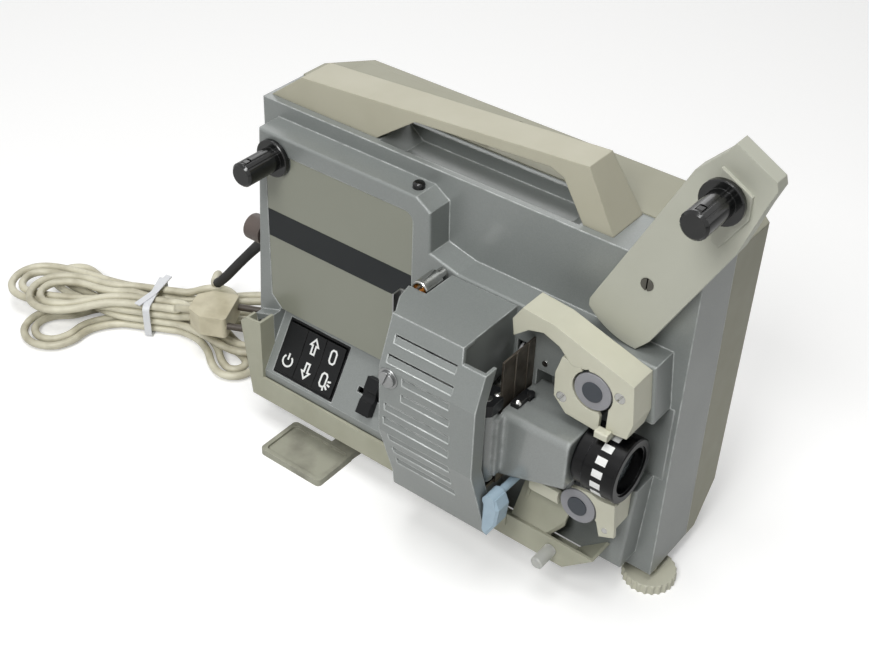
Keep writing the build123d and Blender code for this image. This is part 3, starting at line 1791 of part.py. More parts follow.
def lamp_holder():
    right = holder_left + holder_length
    block = bar(
        holder_left,
        right,
        film_middle - holder_width / 2,
        film_middle + holder_width / 2,
        optical_height - holder_height / 2,
        optical_height + holder_height / 2,
    )
    arm = bar(
        holder_left,
        holder_left + holder_arm_width,
        film_middle,
        chassis_face,
        optical_height - main_shaft_radius - holder_shaft_gap - holder_arm_height,
        optical_height - main_shaft_radius - holder_shaft_gap,
    )
    holder = block + arm
    for side in (-1, 1):
        holder = holder - along_x(
            film_middle + side * lamp_pin_spread, optical_height, lamp_pin_radius + shaft_gap, right - lamp_pin_length, right + overrun
        )
    return holder


def framing_pin():
    pin = along_y(framing_x, framing_height, framing_radius, -framing_length, -running_gap)
    pin = chamfer(pin.edges().sort_by(Axis.Y)[0], edge_round / 3)
    tip_hole = along_y(framing_x, framing_height, framing_tip_radius, -framing_length - overrun, -framing_length + edge_round / 2)
    keeper = along_y(framing_x, framing_height, framing_keeper_radius, cast_wall + running_gap, cast_wall + edge_round)
    neck = along_y(framing_x, framing_height, framing_neck_radius, -running_gap, cast_wall + running_gap)
    return pin - tip_hole + keeper + neck


def reel_spindle(x, height, shaft_end, collar_start, collar_radius):
    """A reel spindle with three ribs, each between two shallow grooves, so the reel's hole still bears all round."""
    reach = along_y(x, height, spindle_radius, spindle_tip, spindle_flange_face)
    reach = chamfer(reach.edges().sort_by(Axis.Y)[0], spindle_bevel)
    flange = along_y(x, height, spindle_flange_radius, spindle_flange_face, spindle_flange_face + spindle_flange_thickness)
    flange = chamfer(flange.edges().sort_by(Axis.Y)[0], spindle_bevel / 3)
    shaft = along_y(x, height, spindle_shaft_radius, spindle_flange_face, shaft_end)
    collar = along_y(x, height, collar_radius, collar_start, shaft_end)
    groove_middle = (spindle_rib_width + spindle_groove_width) / 2
    for index in range(spindle_rib_count):
        turn = 360.0 * index / spindle_rib_count + spindle_rib_turn
        for side in (-1, 1):
            groove = bar(
                spindle_radius - spindle_groove_depth,
                spindle_radius + overrun,
                spindle_tip - overrun,
                spindle_flange_face,
                side * groove_middle - spindle_groove_width / 2,
                side * groove_middle + spindle_groove_width / 2,
            )
            reach = reach - Pos(x, 0, height) * Rot(0, turn, 0) * groove
    piece = reach + flange + shaft + collar
    slot = bar(
        x - latch_width / 2 - running_gap,
        x + latch_width / 2 + running_gap,
        spindle_tip + latch_setback - running_gap,
        spindle_tip + latch_setback + latch_length + running_gap,
        height + spindle_radius - latch_depth - latch_travel - running_gap,
        height + spindle_radius + overrun,
    )
    return piece - slot


def spindle_latch(x, height):
    top = height + spindle_radius - latch_sink
    latch = bar(
        x - latch_width / 2,
        x + latch_width / 2,
        spindle_tip + latch_setback,
        spindle_tip + latch_setback + latch_length,
        height + spindle_radius - latch_depth,
        top,
    )
    return chamfer(latch.edges().filter_by(Axis.X).group_by(Axis.Z)[-1], latch_bevel)


def supply_arm():
    points = from_shares(arm_shares, arm_left, arm_bottom, arm_length, arm_height)
    face = outline_face(points)
    arm = front_prism(face, arm_front, arm_front + arm_thickness)
    inner = offset(face, amount=-arm_wall, kind=Kind.INTERSECTION)
    arm = arm - front_prism(inner, arm_front + arm_wall, arm_front + arm_thickness + overrun)
    pad_points = from_shares(arm_pad_shares, arm_left, arm_bottom, arm_length, arm_height)
    arm = arm + front_prism(outline_face(pad_points), arm_front - arm_pad_rise, arm_front)
    full = front_prism(face, arm_front, arm_front + arm_thickness)
    for x, height in ((arm_pivot_x, arm_pivot_height), (supply_x, supply_height)):
        boss = along_y(x, height, spindle_flange_radius - edge_round, arm_front, arm_front + arm_thickness)
        arm = arm + (boss & full)
    arm = arm - along_y(supply_x, supply_height, spindle_shaft_radius + shaft_gap, -overrun, arm_front + arm_thickness + overrun)
    pocket = along_y(
        supply_x,
        supply_height,
        takeup_collar_radius + running_gap,
        arm_front + arm_thickness - arm_wall - running_gap,
        arm_front + arm_thickness + overrun,
    )
    arm = arm - pocket
    arm = arm - along_y(arm_pivot_x, arm_pivot_height, arm_screw_radius + shaft_gap, 0, arm_front + arm_thickness + overrun)
    swept = along_y(arm_pivot_x, arm_pivot_height, arm_tail_radius, -overrun, arm_front + arm_thickness + overrun)
    upper = bar(
        arm_left - overrun,
        arm_left + arm_length + overrun,
        -overrun,
        arm_front + arm_thickness + overrun,
        arm_pivot_height,
        arm_bottom + arm_height + overrun,
    )
    return arm & (swept + upper)


def arm_pivot_screw():
    shank = along_y(arm_pivot_x, arm_pivot_height, arm_screw_radius, arm_front - edge_round / 4, face_step + cast_wall)
    slot = bar(
        arm_pivot_x - running_gap,
        arm_pivot_x + running_gap,
        arm_front - overrun,
        arm_front + edge_round,
        arm_pivot_height - arm_screw_radius,
        arm_pivot_height + arm_screw_radius,
    )
    return shank - slot


def side_knob():
    knob = along_x(side_knob_depth, side_knob_height, side_knob_radius, side_knob_end, side_knob_end + side_knob_thickness)
    knob = fillet(knob.edges().sort_by(Axis.X)[0], side_knob_radius / 5)
    shaft = along_x(side_knob_depth, side_knob_height, side_knob_shaft, side_knob_end + side_knob_thickness, cast_wall)
    return knob + shaft


def loop_lever():
    points = [(loop_x + across * loop_width, loop_height + up * loop_length) for across, up in loop_shares]
    paddle = front_prism(outline_face(points), loop_front, loop_front + loop_thickness)
    front_edges = paddle.edges().filter_by_position(Axis.Y, loop_front - shaft_gap, loop_front + shaft_gap)
    paddle = chamfer(front_edges, edge_round)
    hub = along_y(loop_x, loop_height, loop_hub_radius, loop_front, loop_front + loop_thickness)
    shaft = along_y(loop_x, loop_height, loop_shaft_radius, loop_front + loop_thickness, cast_wall + overrun / 2)
    return paddle + hub + shaft


def chassis_plate():
    back = chassis_face + chassis_thickness
    plate = bar(
        body_left + cast_wall + chassis_margin,
        body_right - cast_wall - chassis_margin,
        chassis_face,
        back,
        body_bottom + cast_wall + chassis_margin,
        body_top - scoop_depth - cast_wall - chassis_margin,
    )
    shutter_window = bar(
        shutter_x - lug_thickness,
        claw_left + claw_thickness + lug_thickness / 2,
        chassis_face - overrun,
        back + overrun,
        optical_height - shutter_radius - overrun,
        optical_height + shutter_radius + overrun,
    )
    pulley_window = bar(
        pulley_left - overrun,
        pulley_left + pulley_width + overrun,
        chassis_face - overrun,
        back + overrun,
        motor_height,
        optical_height + main_pulley_radius + overrun,
    )
    plate = plate - shutter_window - pulley_window
    for height in (upper_sprocket_height, lower_sprocket_height):
        plate = plate - along_y(sprocket_x, height, sprocket_shaft_radius + shaft_gap, chassis_face - overrun, back + overrun)
    plate = plate - along_z(
        levelling_x - cast_wall, levelling_depth, levelling_boss_radius + running_gap, 0, body_bottom + cast_wall + overrun * 2
    )
    plate = plate - bar(
        timing_x - timing_gear_radius - edge_round,
        timing_x + timing_gear_radius + edge_round,
        chassis_face - overrun,
        back + overrun,
        optical_height - timing_gear_width / 2 - main_gear_radius,
        optical_height + timing_gear_width / 2 + main_gear_radius,
    )
    for left in (pulley_left + pulley_width + overrun, timing_x - lug_width):
        lug = bar(
            left,
            left + lug_thickness,
            main_shaft_depth - lug_width / 4,
            chassis_face + shaft_gap,
            optical_height - lug_width / 2,
            optical_height + lug_width / 2,
        )
        plate = plate + lug
        plate = plate - along_x(main_shaft_depth, optical_height, main_shaft_radius + shaft_gap, left - overrun, left + lug_thickness + overrun)
    for height in (timing_bottom + lug_thickness, timing_top - lug_thickness * 2):
        lug = bar(
            timing_x - lug_width / 2,
            timing_x + lug_width / 2,
            back - shaft_gap,
            timing_depth + lug_width / 2,
            height,
            height + lug_thickness,
        )
        plate = plate + lug
        plate = plate - along_z(timing_x, timing_depth, timing_shaft_radius + shaft_gap, height - overrun, height + lug_thickness + overrun)
    rod_x = claw_left + claw_thickness / 2
    window_right = claw_left + claw_thickness + lug_thickness / 2
    for side in (-1, 1):
        middle = optical_height + side * claw_rod_reach
        plate = plate + bar(
            rod_x - claw_thickness,
            window_right + lug_thickness,
            back - shaft_gap,
            claw_rod_depth + claw_rod_radius * 2,
            middle - claw_thickness / 2,
            middle + claw_thickness / 2,
        )
    rod = along_z(rod_x, claw_rod_depth, claw_rod_radius, optical_height - claw_rod_reach, optical_height + claw_rod_reach)
    plate = plate + rod
    for height in (motor_height - motor_radius / 2, motor_height + motor_radius / 2):
        plate = plate + bar(
            motor_left,
            motor_left + motor_foot_width,
            back - shaft_gap,
            motor_depth - motor_radius * 0.75,
            height - lug_thickness / 2,
            height + lug_thickness / 2,
        )
    return plate


def motor_body():
    can = along_x(motor_depth, motor_height, motor_radius, motor_left, motor_left + motor_length)
    can = fillet(can.edges().group_by(Axis.X)[0], edge_round)
    bore = along_x(motor_depth, motor_height, motor_shaft_radius + shaft_gap, motor_left - overrun, motor_left + motor_length + overrun)
    seats = None
    for height in (motor_height - motor_radius / 2, motor_height + motor_radius / 2):
        seat = bar(
            motor_left - overrun,
            motor_left + motor_foot_width,
            chassis_face,
            motor_depth - motor_radius * 0.75,
            height - lug_thickness / 2,
            height + lug_thickness / 2,
        )
        seats = seat if seats is None else seats + seat
    return can - bore - seats


def motor_rotor():
    shaft = along_x(motor_depth, motor_height, motor_shaft_radius, motor_left, pulley_left + pulley_width)
    hub = along_x(motor_depth, motor_height, motor_pulley_radius, fan_left, fan_left + fan_width)
    rotor = shaft + hub
    for index in range(fan_blades):
        blade = bar(
            fan_left, fan_left + fan_width, motor_pulley_radius / 2, fan_radius, -fan_blade_thickness / 2, fan_blade_thickness / 2
        )
        blade = Pos(0, motor_depth, motor_height) * Rot(360.0 * index / fan_blades, 0, 0) * blade
        rotor = rotor + blade
    return rotor + pulley(motor_depth, motor_height, motor_pulley_radius)


def pulley(depth, height, radius):
    wheel = along_x(depth, height, radius, pulley_left, pulley_left + pulley_width)
    groove = along_x(
        depth, height, radius + overrun, pulley_left + pulley_lip, pulley_left + pulley_width - pulley_lip
    )
    groove = groove - along_x(depth, height, radius - belt_thickness, pulley_left, pulley_left + pulley_width)
    return wheel - groove


def main_shaft():
    shaft = along_x(main_shaft_depth, optical_height, main_shaft_radius, main_shaft_left, main_shaft_right)
    shaft = shaft + pulley(main_shaft_depth, optical_height, main_pulley_radius)
    hub = along_x(main_shaft_depth, optical_height, shutter_hub_radius, shutter_x - lug_thickness / 2, shutter_x + shutter_thickness)
    core = along_x(main_shaft_depth, optical_height, shutter_core_radius, shutter_x, shutter_x + shutter_thickness)
    shaft = shaft + hub + core
    for index in range(shutter_blades):
        start = 360.0 * index / shutter_blades
        first = math.radians(start - shutter_blade_angle / 2)
        last = math.radians(start + shutter_blade_angle / 2)
        far = shutter_radius * 2
        sector = [
            (main_shaft_depth, optical_height),
            (main_shaft_depth + far * math.cos(first), optical_height + far * math.sin(first)),
            (main_shaft_depth + far * math.cos(last), optical_height + far * math.sin(last)),
        ]
        wedge = side_prism(outline_face(sector), shutter_x, shutter_x + shutter_thickness)
        disc = along_x(main_shaft_depth, optical_height, shutter_radius, shutter_x, shutter_x + shutter_thickness)
        shaft = shaft + (wedge & disc)
    gear = along_x(
        main_shaft_depth, optical_height, main_gear_radius, timing_x - main_gear_width / 2, timing_x + main_gear_width / 2 - shaft_gap
    )
    return shaft + gear


def timing_shaft():
    shaft = along_z(timing_x, timing_depth, timing_shaft_radius, timing_bottom, timing_top)
    gear = along_z(
        timing_x, timing_depth, timing_gear_radius, optical_height - timing_gear_width / 2, optical_height + timing_gear_width / 2
    )
    shaft = shaft + gear
    for height in (upper_sprocket_height, lower_sprocket_height):
        worm = along_z(timing_x, timing_depth, worm_radius, height - worm_length / 2, height + worm_length / 2)
        for index in range(worm_turns):
            level = height - worm_length / 2 + worm_length * (index + 1 / 2) / worm_turns
            ring = along_z(timing_x, timing_depth, worm_radius + overrun, level - worm_groove / 2, level + worm_groove / 2)
            ring = ring - along_z(timing_x, timing_depth, worm_radius - worm_groove, level - worm_groove, level + worm_groove)
            worm = worm - ring
        shaft = shaft + worm
    return shaft


def belt_outline(extra):
    span_y = motor_depth - main_shaft_depth
    span_z = motor_height - optical_height
    distance = math.hypot(span_y, span_z)
    base = math.atan2(span_z, span_y)
    big = main_pulley_radius - belt_thickness + extra
    small = motor_pulley_radius - belt_thickness + extra
    lean = math.acos((big - small) / distance)
    points = []
    for radius, y, z, turns in (
        (big, main_shaft_depth, optical_height, (lean, math.pi, 2 * math.pi - lean)),
        (small, motor_depth, motor_height, (2 * math.pi - lean, 2 * math.pi, 2 * math.pi + lean)),
    ):
        points.append([(y + radius * math.cos(base + turn), z + radius * math.sin(base + turn)) for turn in turns])
    big_arc = ThreePointArc(*points[0])
    small_arc = ThreePointArc(*points[1])
    first = Line(points[0][2], points[1][0])
    second = Line(points[1][2], points[0][0])
    return make_face([big_arc, first, small_arc, second])


def drive_belt():
    left = pulley_left + pulley_lip + running_gap
    right = pulley_left + pulley_width - pulley_lip - running_gap
    outer = side_prism(belt_outline(belt_thickness), left, right)
    return outer - side_prism(belt_outline(running_gap), left - overrun, right + overrun)


def claw_arm():
    left = claw_left
    right = claw_left + claw_thickness
    centre = (main_shaft_depth, optical_height)
    frame = bar(
        left,
        right,
        centre[0] - claw_frame_half_width - claw_frame_wall,
        centre[0] + claw_frame_half_width + claw_frame_wall,
        centre[1] - claw_frame_half_height - claw_frame_wall,
        centre[1] + claw_frame_half_height + claw_frame_wall,
    )
    tooth_height = optical_height - claw_slot_length * 0.6 - claw_pitch_travel - claw_tooth_height
    arm = bar(
        left,
        right,
        perforation_depth - claw_tooth_width,
        centre[0] - claw_frame_half_width,
        tooth_height - claw_height / 2,
        tooth_height + claw_height / 2,
    )
    tail = bar(
        left, right, centre[0] + claw_frame_half_width, claw_rod_depth, optical_height - claw_boss_height / 2, optical_height + claw_boss_height / 2
    )
    rod_x = claw_left + claw_thickness / 2
    boss = bar(
        rod_x - claw_thickness,
        rod_x + claw_thickness,
        claw_rod_depth - claw_boss_half,
        claw_rod_depth + claw_boss_half,
        optical_height - claw_boss_height / 2,
        optical_height + claw_boss_height / 2,
    )
    boss = fillet(boss.edges().filter_by(Axis.Z), edge_round)
    tooth = bar(
        right,
        gate_face + gate_thickness + claw_tooth_reach,
        perforation_depth - claw_tooth_width / 2,
        perforation_depth + claw_tooth_width / 2,
        tooth_height - claw_tooth_height / 2,
        tooth_height + claw_tooth_height / 2,
    )
    window = bar(
        left - overrun,
        right + overrun,
        centre[0] - claw_frame_half_width,
        centre[0] + claw_frame_half_width,
        centre[1] - claw_frame_half_height,
        centre[1] + claw_frame_half_height,
    )
    bore = along_z(rod_x, claw_rod_depth, claw_rod_radius + shaft_gap, 0, optical_height * 2)
    return frame + arm + tail + boss + tooth - window - bore


def transformer():
    back = chassis_face + chassis_thickness
    core = bar(core_left, core_left + core_length, back, back + core_depth, core_bottom, core_bottom + core_height)
    for left in (core_left + coil_inset, core_left + core_length / 2 + core_tongue / 2):
        core = core - bar(
            left,
            left + core_length / 2 - core_tongue / 2 - coil_inset,
            back - overrun,
            back + core_depth + overrun,
            core_bottom + coil_inset,
            core_bottom + core_height - coil_inset,
        )
    coil = bar(
        core_left + coil_inset,
        core_left + core_length - coil_inset,
        back + running_gap,
        back + core_depth + coil_overhang,
        core_bottom + coil_inset,
        core_bottom + core_height - coil_inset,
    )
    coil = fillet(coil.edges().filter_by(Axis.Z), edge_round * 2)
    return core + coil


def cord_arcs(points):
    """For each inner point of a route, the largest arc that its two runs allow."""
    spots = [Vector(*point) for point in points]
    radii = []
    for before, spot, after in zip(spots, spots[1:], spots[2:]):
        run_in = spot - before
        run_out = after - spot
        half_turn = math.radians(run_in.get_angle(run_out)) / 2
        radii.append(0.45 * min(run_in.length, run_out.length) / math.tan(half_turn))
    return radii


def routed_tube(points, radius):
    radii = cord_arcs(points)
    path = FilletPolyline(*points, radius=radii)
    tube = sweep(Plane(origin=path @ 0, z_dir=path % 0) * Circle(radius), path=path)
    print("arcs", [round(value, 1) for value in radii])
    print("volume", round(tube.volume, 1), "against", round(math.pi * radius**2 * path.length, 1))
    return tube


def cord_sleeve():
    gland = along_x(gland_depth, gland_height, gland_radius, body_left - gland_length, body_left + cast_wall)
    flange = along_x(gland_depth, gland_height, gland_radius + edge_round, body_left - gland_length, body_left)
    boot_middle = body_left - gland_length - boot_length / 2
    boot = Pos(boot_middle, gland_depth, gland_height) * Rot(0, -90, 0) * Cone(gland_radius, sleeve_radius, boot_length)
    return gland + flange + boot + routed_tube(sleeve_points, sleeve_radius)


def hank_place():
    return Pos(hank_x, hank_depth, 0) * Rot(0, 0, hank_turn)


def cord_route():
    """The free stretch, from the sleeve's tip to where the hank begins."""
    lead = (hank_place() * Pos(*lead_start)).position
    return [sleeve_points[-1], *cord_points, (lead.X, lead.Y, lead.Z)]


def mains_cord():
    return routed_tube(cord_route(), cord_radius)


def steady_arcs(start, start_way, end, end_way):
    """Two tangent arcs that leave the start and reach the end in the given directions."""
    span = end - start
    if (span.normalized() - start_way).length + (start_way - end_way).length < shaft_gap / overrun:
        return [Line(start, end)]
    across = span.dot(start_way + end_way)
    square = 2 * start_way.dot(end_way) - 2
    if abs(square) < shaft_gap / overrun**2:
        reach = span.length**2 / (2 * across)
    else:
        reach = (across - math.sqrt(across**2 - square * span.length**2)) / square
    before = start + start_way * reach
    after = end - end_way * reach
    middle = (before + after) / 2
    way = (after - before).normalized()
    return [TangentArc(start, middle, tangent=start_way), TangentArc(middle, end, tangent=way)]


def layer_level(layer):
    return tie_thickness + running_gap + cord_radius + layer * layer_pitch


def petal_spot(out, fan, along, across, layer):
    """A spot on a fanned loop: along the loop's own line from the end of its bend, and across it."""
    angle = math.radians(fan)
    bend_along = bend_radius * math.sin(abs(angle))
    bend_across = math.copysign(bend_radius * (1 - math.cos(angle)), angle)
    x = bend_along + along * math.cos(angle) - across * math.sin(angle)
    y = bend_across + along * math.sin(angle) + across * math.cos(angle)
    return Vector(out * (waist_length / 2 + x), y, layer_level(layer))


def petal(out, layer, from_across, to_across, from_share, to_share):
    """One half loop beyond the waist, out along one side and back along the other."""
    reach = (left_reach if out < 0 else right_reach)[layer]
    belly = (left_belly if out < 0 else right_belly)[layer]
    fan = (left_fan if out < 0 else right_fan)[layer]
    from_side = math.copysign(1, from_across)
    bent = petal_spot(out, fan, 0, from_across, layer)
    first = petal_spot(out, fan, reach, from_side * (belly - from_share * loop_pitch), layer)
    second = petal_spot(out, fan, reach, -from_side * (belly - to_share * loop_pitch), layer)
    back = petal_spot(out, fan, 0, to_across, layer)
    way = (petal_spot(out, fan, reach, 0, layer) - petal_spot(out, fan, 0, 0, layer)).normalized()
    start = Vector(out * waist_length / 2, from_across, layer_level(layer))
    end = Vector(out * waist_length / 2, to_across, layer_level(layer))
    edges = [TangentArc(start, bent, tangent=Vector(out, 0, 0))]
    edges += steady_arcs(bent, way, first, way)
    edges.append(TangentArc(first, second, tangent=way))
    edges += steady_arcs(second, way * -1, back, way * -1)
    edges.append(TangentArc(back, end, tangent=way * -1))
    return edges


def hank_edges():
    """The whole path of the hank in its own frame, from the lead-in at the table to the plug on top."""
    route = [Vector(*point) for point in cord_route()]
    lead_way = (route[-1] - route[-2]).normalized().rotate(Axis.Z, -hank_turn)
    turn = Vector(*lead_turn, layer_level(0))
    turn_way = Vector(*lead_turn_way, 0).normalized()
    edges = steady_arcs(Vector(*lead_start), lead_way, turn, turn_way)
    period = 4 * loops_per_layer
    for index in range(2 * loops_per_layer * hank_layers):
        share = min(index % period, period - index % period) / 2
        out = -1 if index % 2 == 0 else 1
        across = -out * (waist_half - share * loop_pitch)
        layer = index // (2 * loops_per_layer)
        layer_before = max(index - 1, 0) // (2 * loops_per_layer)
        way = Vector(out, 0, 0)
        start = Vector(-out * waist_length / 2, across, layer_level(layer_before))
        end = Vector(out * waist_length / 2, across, layer_level(layer))
        if index == 0:
            edges += steady_arcs(turn, turn_way, start, way)
        else:
            edges += petal(-out, layer_before, across_before, across, share_before, share)
        edges += steady_arcs(start, way, end, way)
        across_before = across
        share_before = share
    plug_way = Vector(1, 0, 0).rotate(Axis.Z, plug_turn)
    plug_rear = Vector(plug_along, plug_across, plug_rise)
    straight_from = plug_rear - plug_way * cord_radius * 2
    edges += steady_arcs(end, way, straight_from, plug_way)
    edges.append(Line(straight_from, plug_rear))
    return edges


def least_gap(edges):
    """The smallest gap between the hank's own strands, from points about a quarter of its radius apart."""
    points = []
    run = 0.0
    for edge in edges:
        count = math.ceil(edge.length / (cord_radius / 2))
        for index in range(count):
            spot = edge @ (index / count)
            points.append((run + edge.length * index / count, spot.X, spot.Y, spot.Z))
        run += edge.length
    nearest = math.inf
    for index, first in enumerate(points):
        for second in points[index + 1:]:
            if second[0] - first[0] > 8 * cord_radius:
                nearest = min(nearest, math.dist(first[1:], second[1:]))
    return nearest - 2 * cord_radius


def cord_hank():
    edges = hank_edges()
    path = Wire(edges)
    tube = sweep(Plane(origin=path @ 0, z_dir=path % 0) * Circle(cord_radius), path=path)
    print("hank gap", round(least_gap(edges), 2), "length", round(path.length, 1))
    print("volume", round(tube.volume, 1), "against", round(math.pi * cord_radius**2 * path.length, 1))
    return hank_place() * tube


def tie_band(grow, width, corner):
    half = waist_half + cord_radius + running_gap + grow
    bottom = tie_thickness - grow
    top = layer_level(hank_layers - 1) + cord_radius + running_gap + grow
    band = bar(-width / 2, width / 2, -half, half, bottom, top)
    return fillet(band.edges().filter_by(Axis.X), corner)


def cable_tie():
    band = tie_band(tie_thickness, tie_width, tie_round + tie_thickness)
    band = band - tie_band(0, tie_width + overrun, tie_round)
    top = layer_level(hank_layers - 1) + cord_radius + running_gap + tie_thickness
    for length, turn, tilt in ((tie_tail_length, tie_tail_turn, tie_tail_tilt), (tie_end_length, tie_end_turn, 0)):
        strip = bar(-tie_width / 2, tie_width / 2, 0, length, -tie_thickness / 4, tie_thickness * 3 / 4)
        band = band + Pos(0, tie_tail_start, top) * Rot(0, 0, turn) * Rot(tilt, 0, 0) * strip
    return hank_place() * band


def mains_plug():
    points = [(along * plug_length, across * plug_width) for along, across in plug_shares]
    body = level_prism(outline_face(points), -plug_thickness / 2, plug_thickness / 2)
    body = fillet(body.edges().filter_by(Axis.Z), plug_round)
    for side in (-1, 1):
        body = body + along_x(side * plug_pin_spread, 0, plug_pin_radius, plug_length - plug_round, plug_length + plug_pin_length)
    return hank_place() * Pos(plug_along, plug_across, plug_rise) * Rot(0, 0, plug_turn) * body


def main():
    os.makedirs("parts", exist_ok=True)
    pieces = {
        "front_housing": front_housing(),
        "rear_cover": rear_cover(),
        "carry_handle": carry_handle(),
        "base_plate": base_plate(),
        "panel_plate": panel_plate(),
        "switch_block": switch_block(),
        "key_motor": rocker_key(0),
        "key_direction": rocker_key(1),
        "key_lamp": rocker_key(2),
        "speed_lever": speed_lever(),
        "top_button": top_button(),
        "film_channel": film_channel(),
        "lower_film_guide": lower_film_guide(),
        "rail_knob": rail_knob(),
        "exit_roller": exit_roller(),
        "upper_guard": upper_guard(),
        "upper_shoe": upper_shoe(),
        "lower_shoe": lower_shoe(),
        "face_screws": face_screws(),
        "upper_sprocket": sprocket(upper_sprocket_height),
        "lower_sprocket": sprocket(lower_sprocket_height),
        "gate_plate": gate_plate(),
        "gate_finger": gate_finger(),
        "hinge_block": hinge_block(),
        "hinge_pin": hinge_pin(),
        "lens_bay_floor": bay_floor(0),
        "lens_carrier": lens_carrier(),
        "lens_barrel": lens_barrel(),
        "zoom_ring": zoom_ring(),
        "front_lens": front_lens(),
        "lamp_house_cover": lamp_house_cover(),
        "cover_screw": cover_screw(),
        "cover_clip": cover_clip(),
        "lamp": lamp(),
        "lamp_holder": lamp_holder(),
        "framing_pin": framing_pin(),
        "takeup_spindle": reel_spindle(
            takeup_x, takeup_height, takeup_shaft_end, takeup_shaft_end - cast_wall + running_gap, takeup_collar_radius
        ),
        "takeup_latch": spindle_latch(takeup_x, takeup_height),
        "supply_arm": supply_arm(),
        "supply_spindle": reel_spindle(
            supply_x,
            supply_height,
            arm_front + arm_thickness - running_gap,
            arm_front + arm_thickness - arm_wall + running_gap,
            takeup_collar_radius,
        ),
        "supply_latch": spindle_latch(supply_x, supply_height),
        "side_knob": side_knob(),
        "loop_lever": loop_lever(),
        "front_foot": front_foot(),
        "swing_pad": swing_pad(),
        "pad_screw": pad_screw(),
        "rubber_feet": rubber_feet(),
        "chassis_plate": chassis_plate(),
        "motor_body": motor_body(),
        "motor_rotor": motor_rotor(),
        "main_shaft": main_shaft(),
        "timing_shaft": timing_shaft(),
        "drive_belt": drive_belt(),
        "claw_arm": claw_arm(),
        "transformer": transformer(),
        "cord_sleeve": cord_sleeve(),
        "mains_cord": mains_cord(),
        "cord_hank": cord_hank(),
        "cable_tie": cable_tie(),
        "mains_plug": mains_plug(),
    }
    middle_x = (side_knob_end + arm_left + arm_length) / 2
    middle_y = (cover_depth - lamp_reach - cover_screw_head) / 2
    for name, shape in pieces.items():
        shape = Pos(-middle_x, -middle_y, 0) * shape
        box = shape.bounding_box()
        print(name, len(shape.solids()), [round(value, 1) for value in (*box.min, *box.max)])
        export_step(shape, f"parts/{name}.step")


if __name__ == "__main__":
    main()
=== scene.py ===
import json
import math

import bmesh
import bpy
from mathutils import Matrix, Vector


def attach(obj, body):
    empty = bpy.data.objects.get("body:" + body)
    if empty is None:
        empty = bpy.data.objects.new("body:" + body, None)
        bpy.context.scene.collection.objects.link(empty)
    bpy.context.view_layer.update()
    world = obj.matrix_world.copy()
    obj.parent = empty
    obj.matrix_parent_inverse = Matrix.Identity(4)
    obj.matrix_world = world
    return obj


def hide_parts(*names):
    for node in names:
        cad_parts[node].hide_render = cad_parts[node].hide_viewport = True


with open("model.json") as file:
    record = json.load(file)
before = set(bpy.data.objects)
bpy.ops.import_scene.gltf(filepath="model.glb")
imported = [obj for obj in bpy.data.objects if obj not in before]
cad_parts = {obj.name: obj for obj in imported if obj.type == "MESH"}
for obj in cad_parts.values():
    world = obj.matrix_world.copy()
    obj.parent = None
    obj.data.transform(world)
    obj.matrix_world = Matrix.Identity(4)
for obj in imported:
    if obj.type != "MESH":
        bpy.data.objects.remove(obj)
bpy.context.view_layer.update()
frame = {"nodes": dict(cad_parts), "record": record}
nodes = frame["nodes"]
print("frame loaded")

# The projector was drawn in mm with the housing's corner near zero; at() moves a drawing point into the frame
drawingMiddle = (123.0, 14.4, 0.0)


def at(x, y, z):
    return Vector((x - drawingMiddle[0], y - drawingMiddle[1], z - drawingMiddle[2])) / 1000


def addObject(name, data):
    thing = bpy.data.objects.new(name, data)
    bpy.context.scene.collection.objects.link(thing)
    return thing


# Camera: stands high in front of the operating side, a little rolled. Place in metres, turns in degrees
cameraView = {
    "place": (0.2955, -0.4317, 0.5026), "azimuth": 36.366, "elevation": 37.469, "roll": 2.305, "lens": 56.49,
    "clipStart": 0.01,
}


def makeCamera(view):
    azimuth, elevation, roll = (math.radians(view[key]) for key in ("azimuth", "elevation", "roll"))
    look = Vector((
        -math.sin(azimuth) * math.cos(elevation), math.cos(azimuth) * math.cos(elevation), -math.sin(elevation),
    ))
    right = look.cross(Vector((0, 0, 1))).normalized()
    up = right.cross(look)
    rolledRight = right * math.cos(roll) + up * math.sin(roll)
    rolledUp = up * math.cos(roll) - right * math.sin(roll)
    data = bpy.data.cameras.new("camera")
    data.lens = view["lens"]
    data.clip_start = view["clipStart"]
    camera = addObject("camera", data)
    turn = Matrix((rolledRight, rolledUp, -look)).transposed().to_4x4()
    camera.matrix_world = Matrix.Translation(view["place"]) @ turn
    bpy.context.scene.camera = camera


makeCamera(cameraView)


# Shared helpers for materials
def linearColour(hexColour):
    values = []
    for start in (1, 3, 5):
        share = int(hexColour[start:start + 2], 16) / 255
        values.append(share / 12.92 if share <= 0.04045 else ((share + 0.055) / 1.055) ** 2.4)
    return (*values, 1.0)


def addNode(tree, kind, settings=None, links=None):
    node = tree.nodes.new(kind)
    for key, value in (settings or {}).items():
        if isinstance(key, int) or key in node.inputs:
            node.inputs[key].default_value = value
        else:
            setattr(node, key, value)
    for key, source in (links or {}).items():
        tree.links.new(source, node.inputs[key])
    return node


def patternScale(sizeMm):
    return 1000.0 / sizeMm


def startMaterial(name):
    material = bpy.data.materials.new(name)
    material.use_nodes = True
    tree = material.node_tree
    tree.nodes.clear()
    shader = addNode(tree, "ShaderNodeBsdfPrincipled")
    addNode(tree, "ShaderNodeOutputMaterial", links={"Surface": shader.outputs[0]})
    place = addNode(tree, "ShaderNodeTexCoord").outputs["Object"]
    return material, tree, shader, place


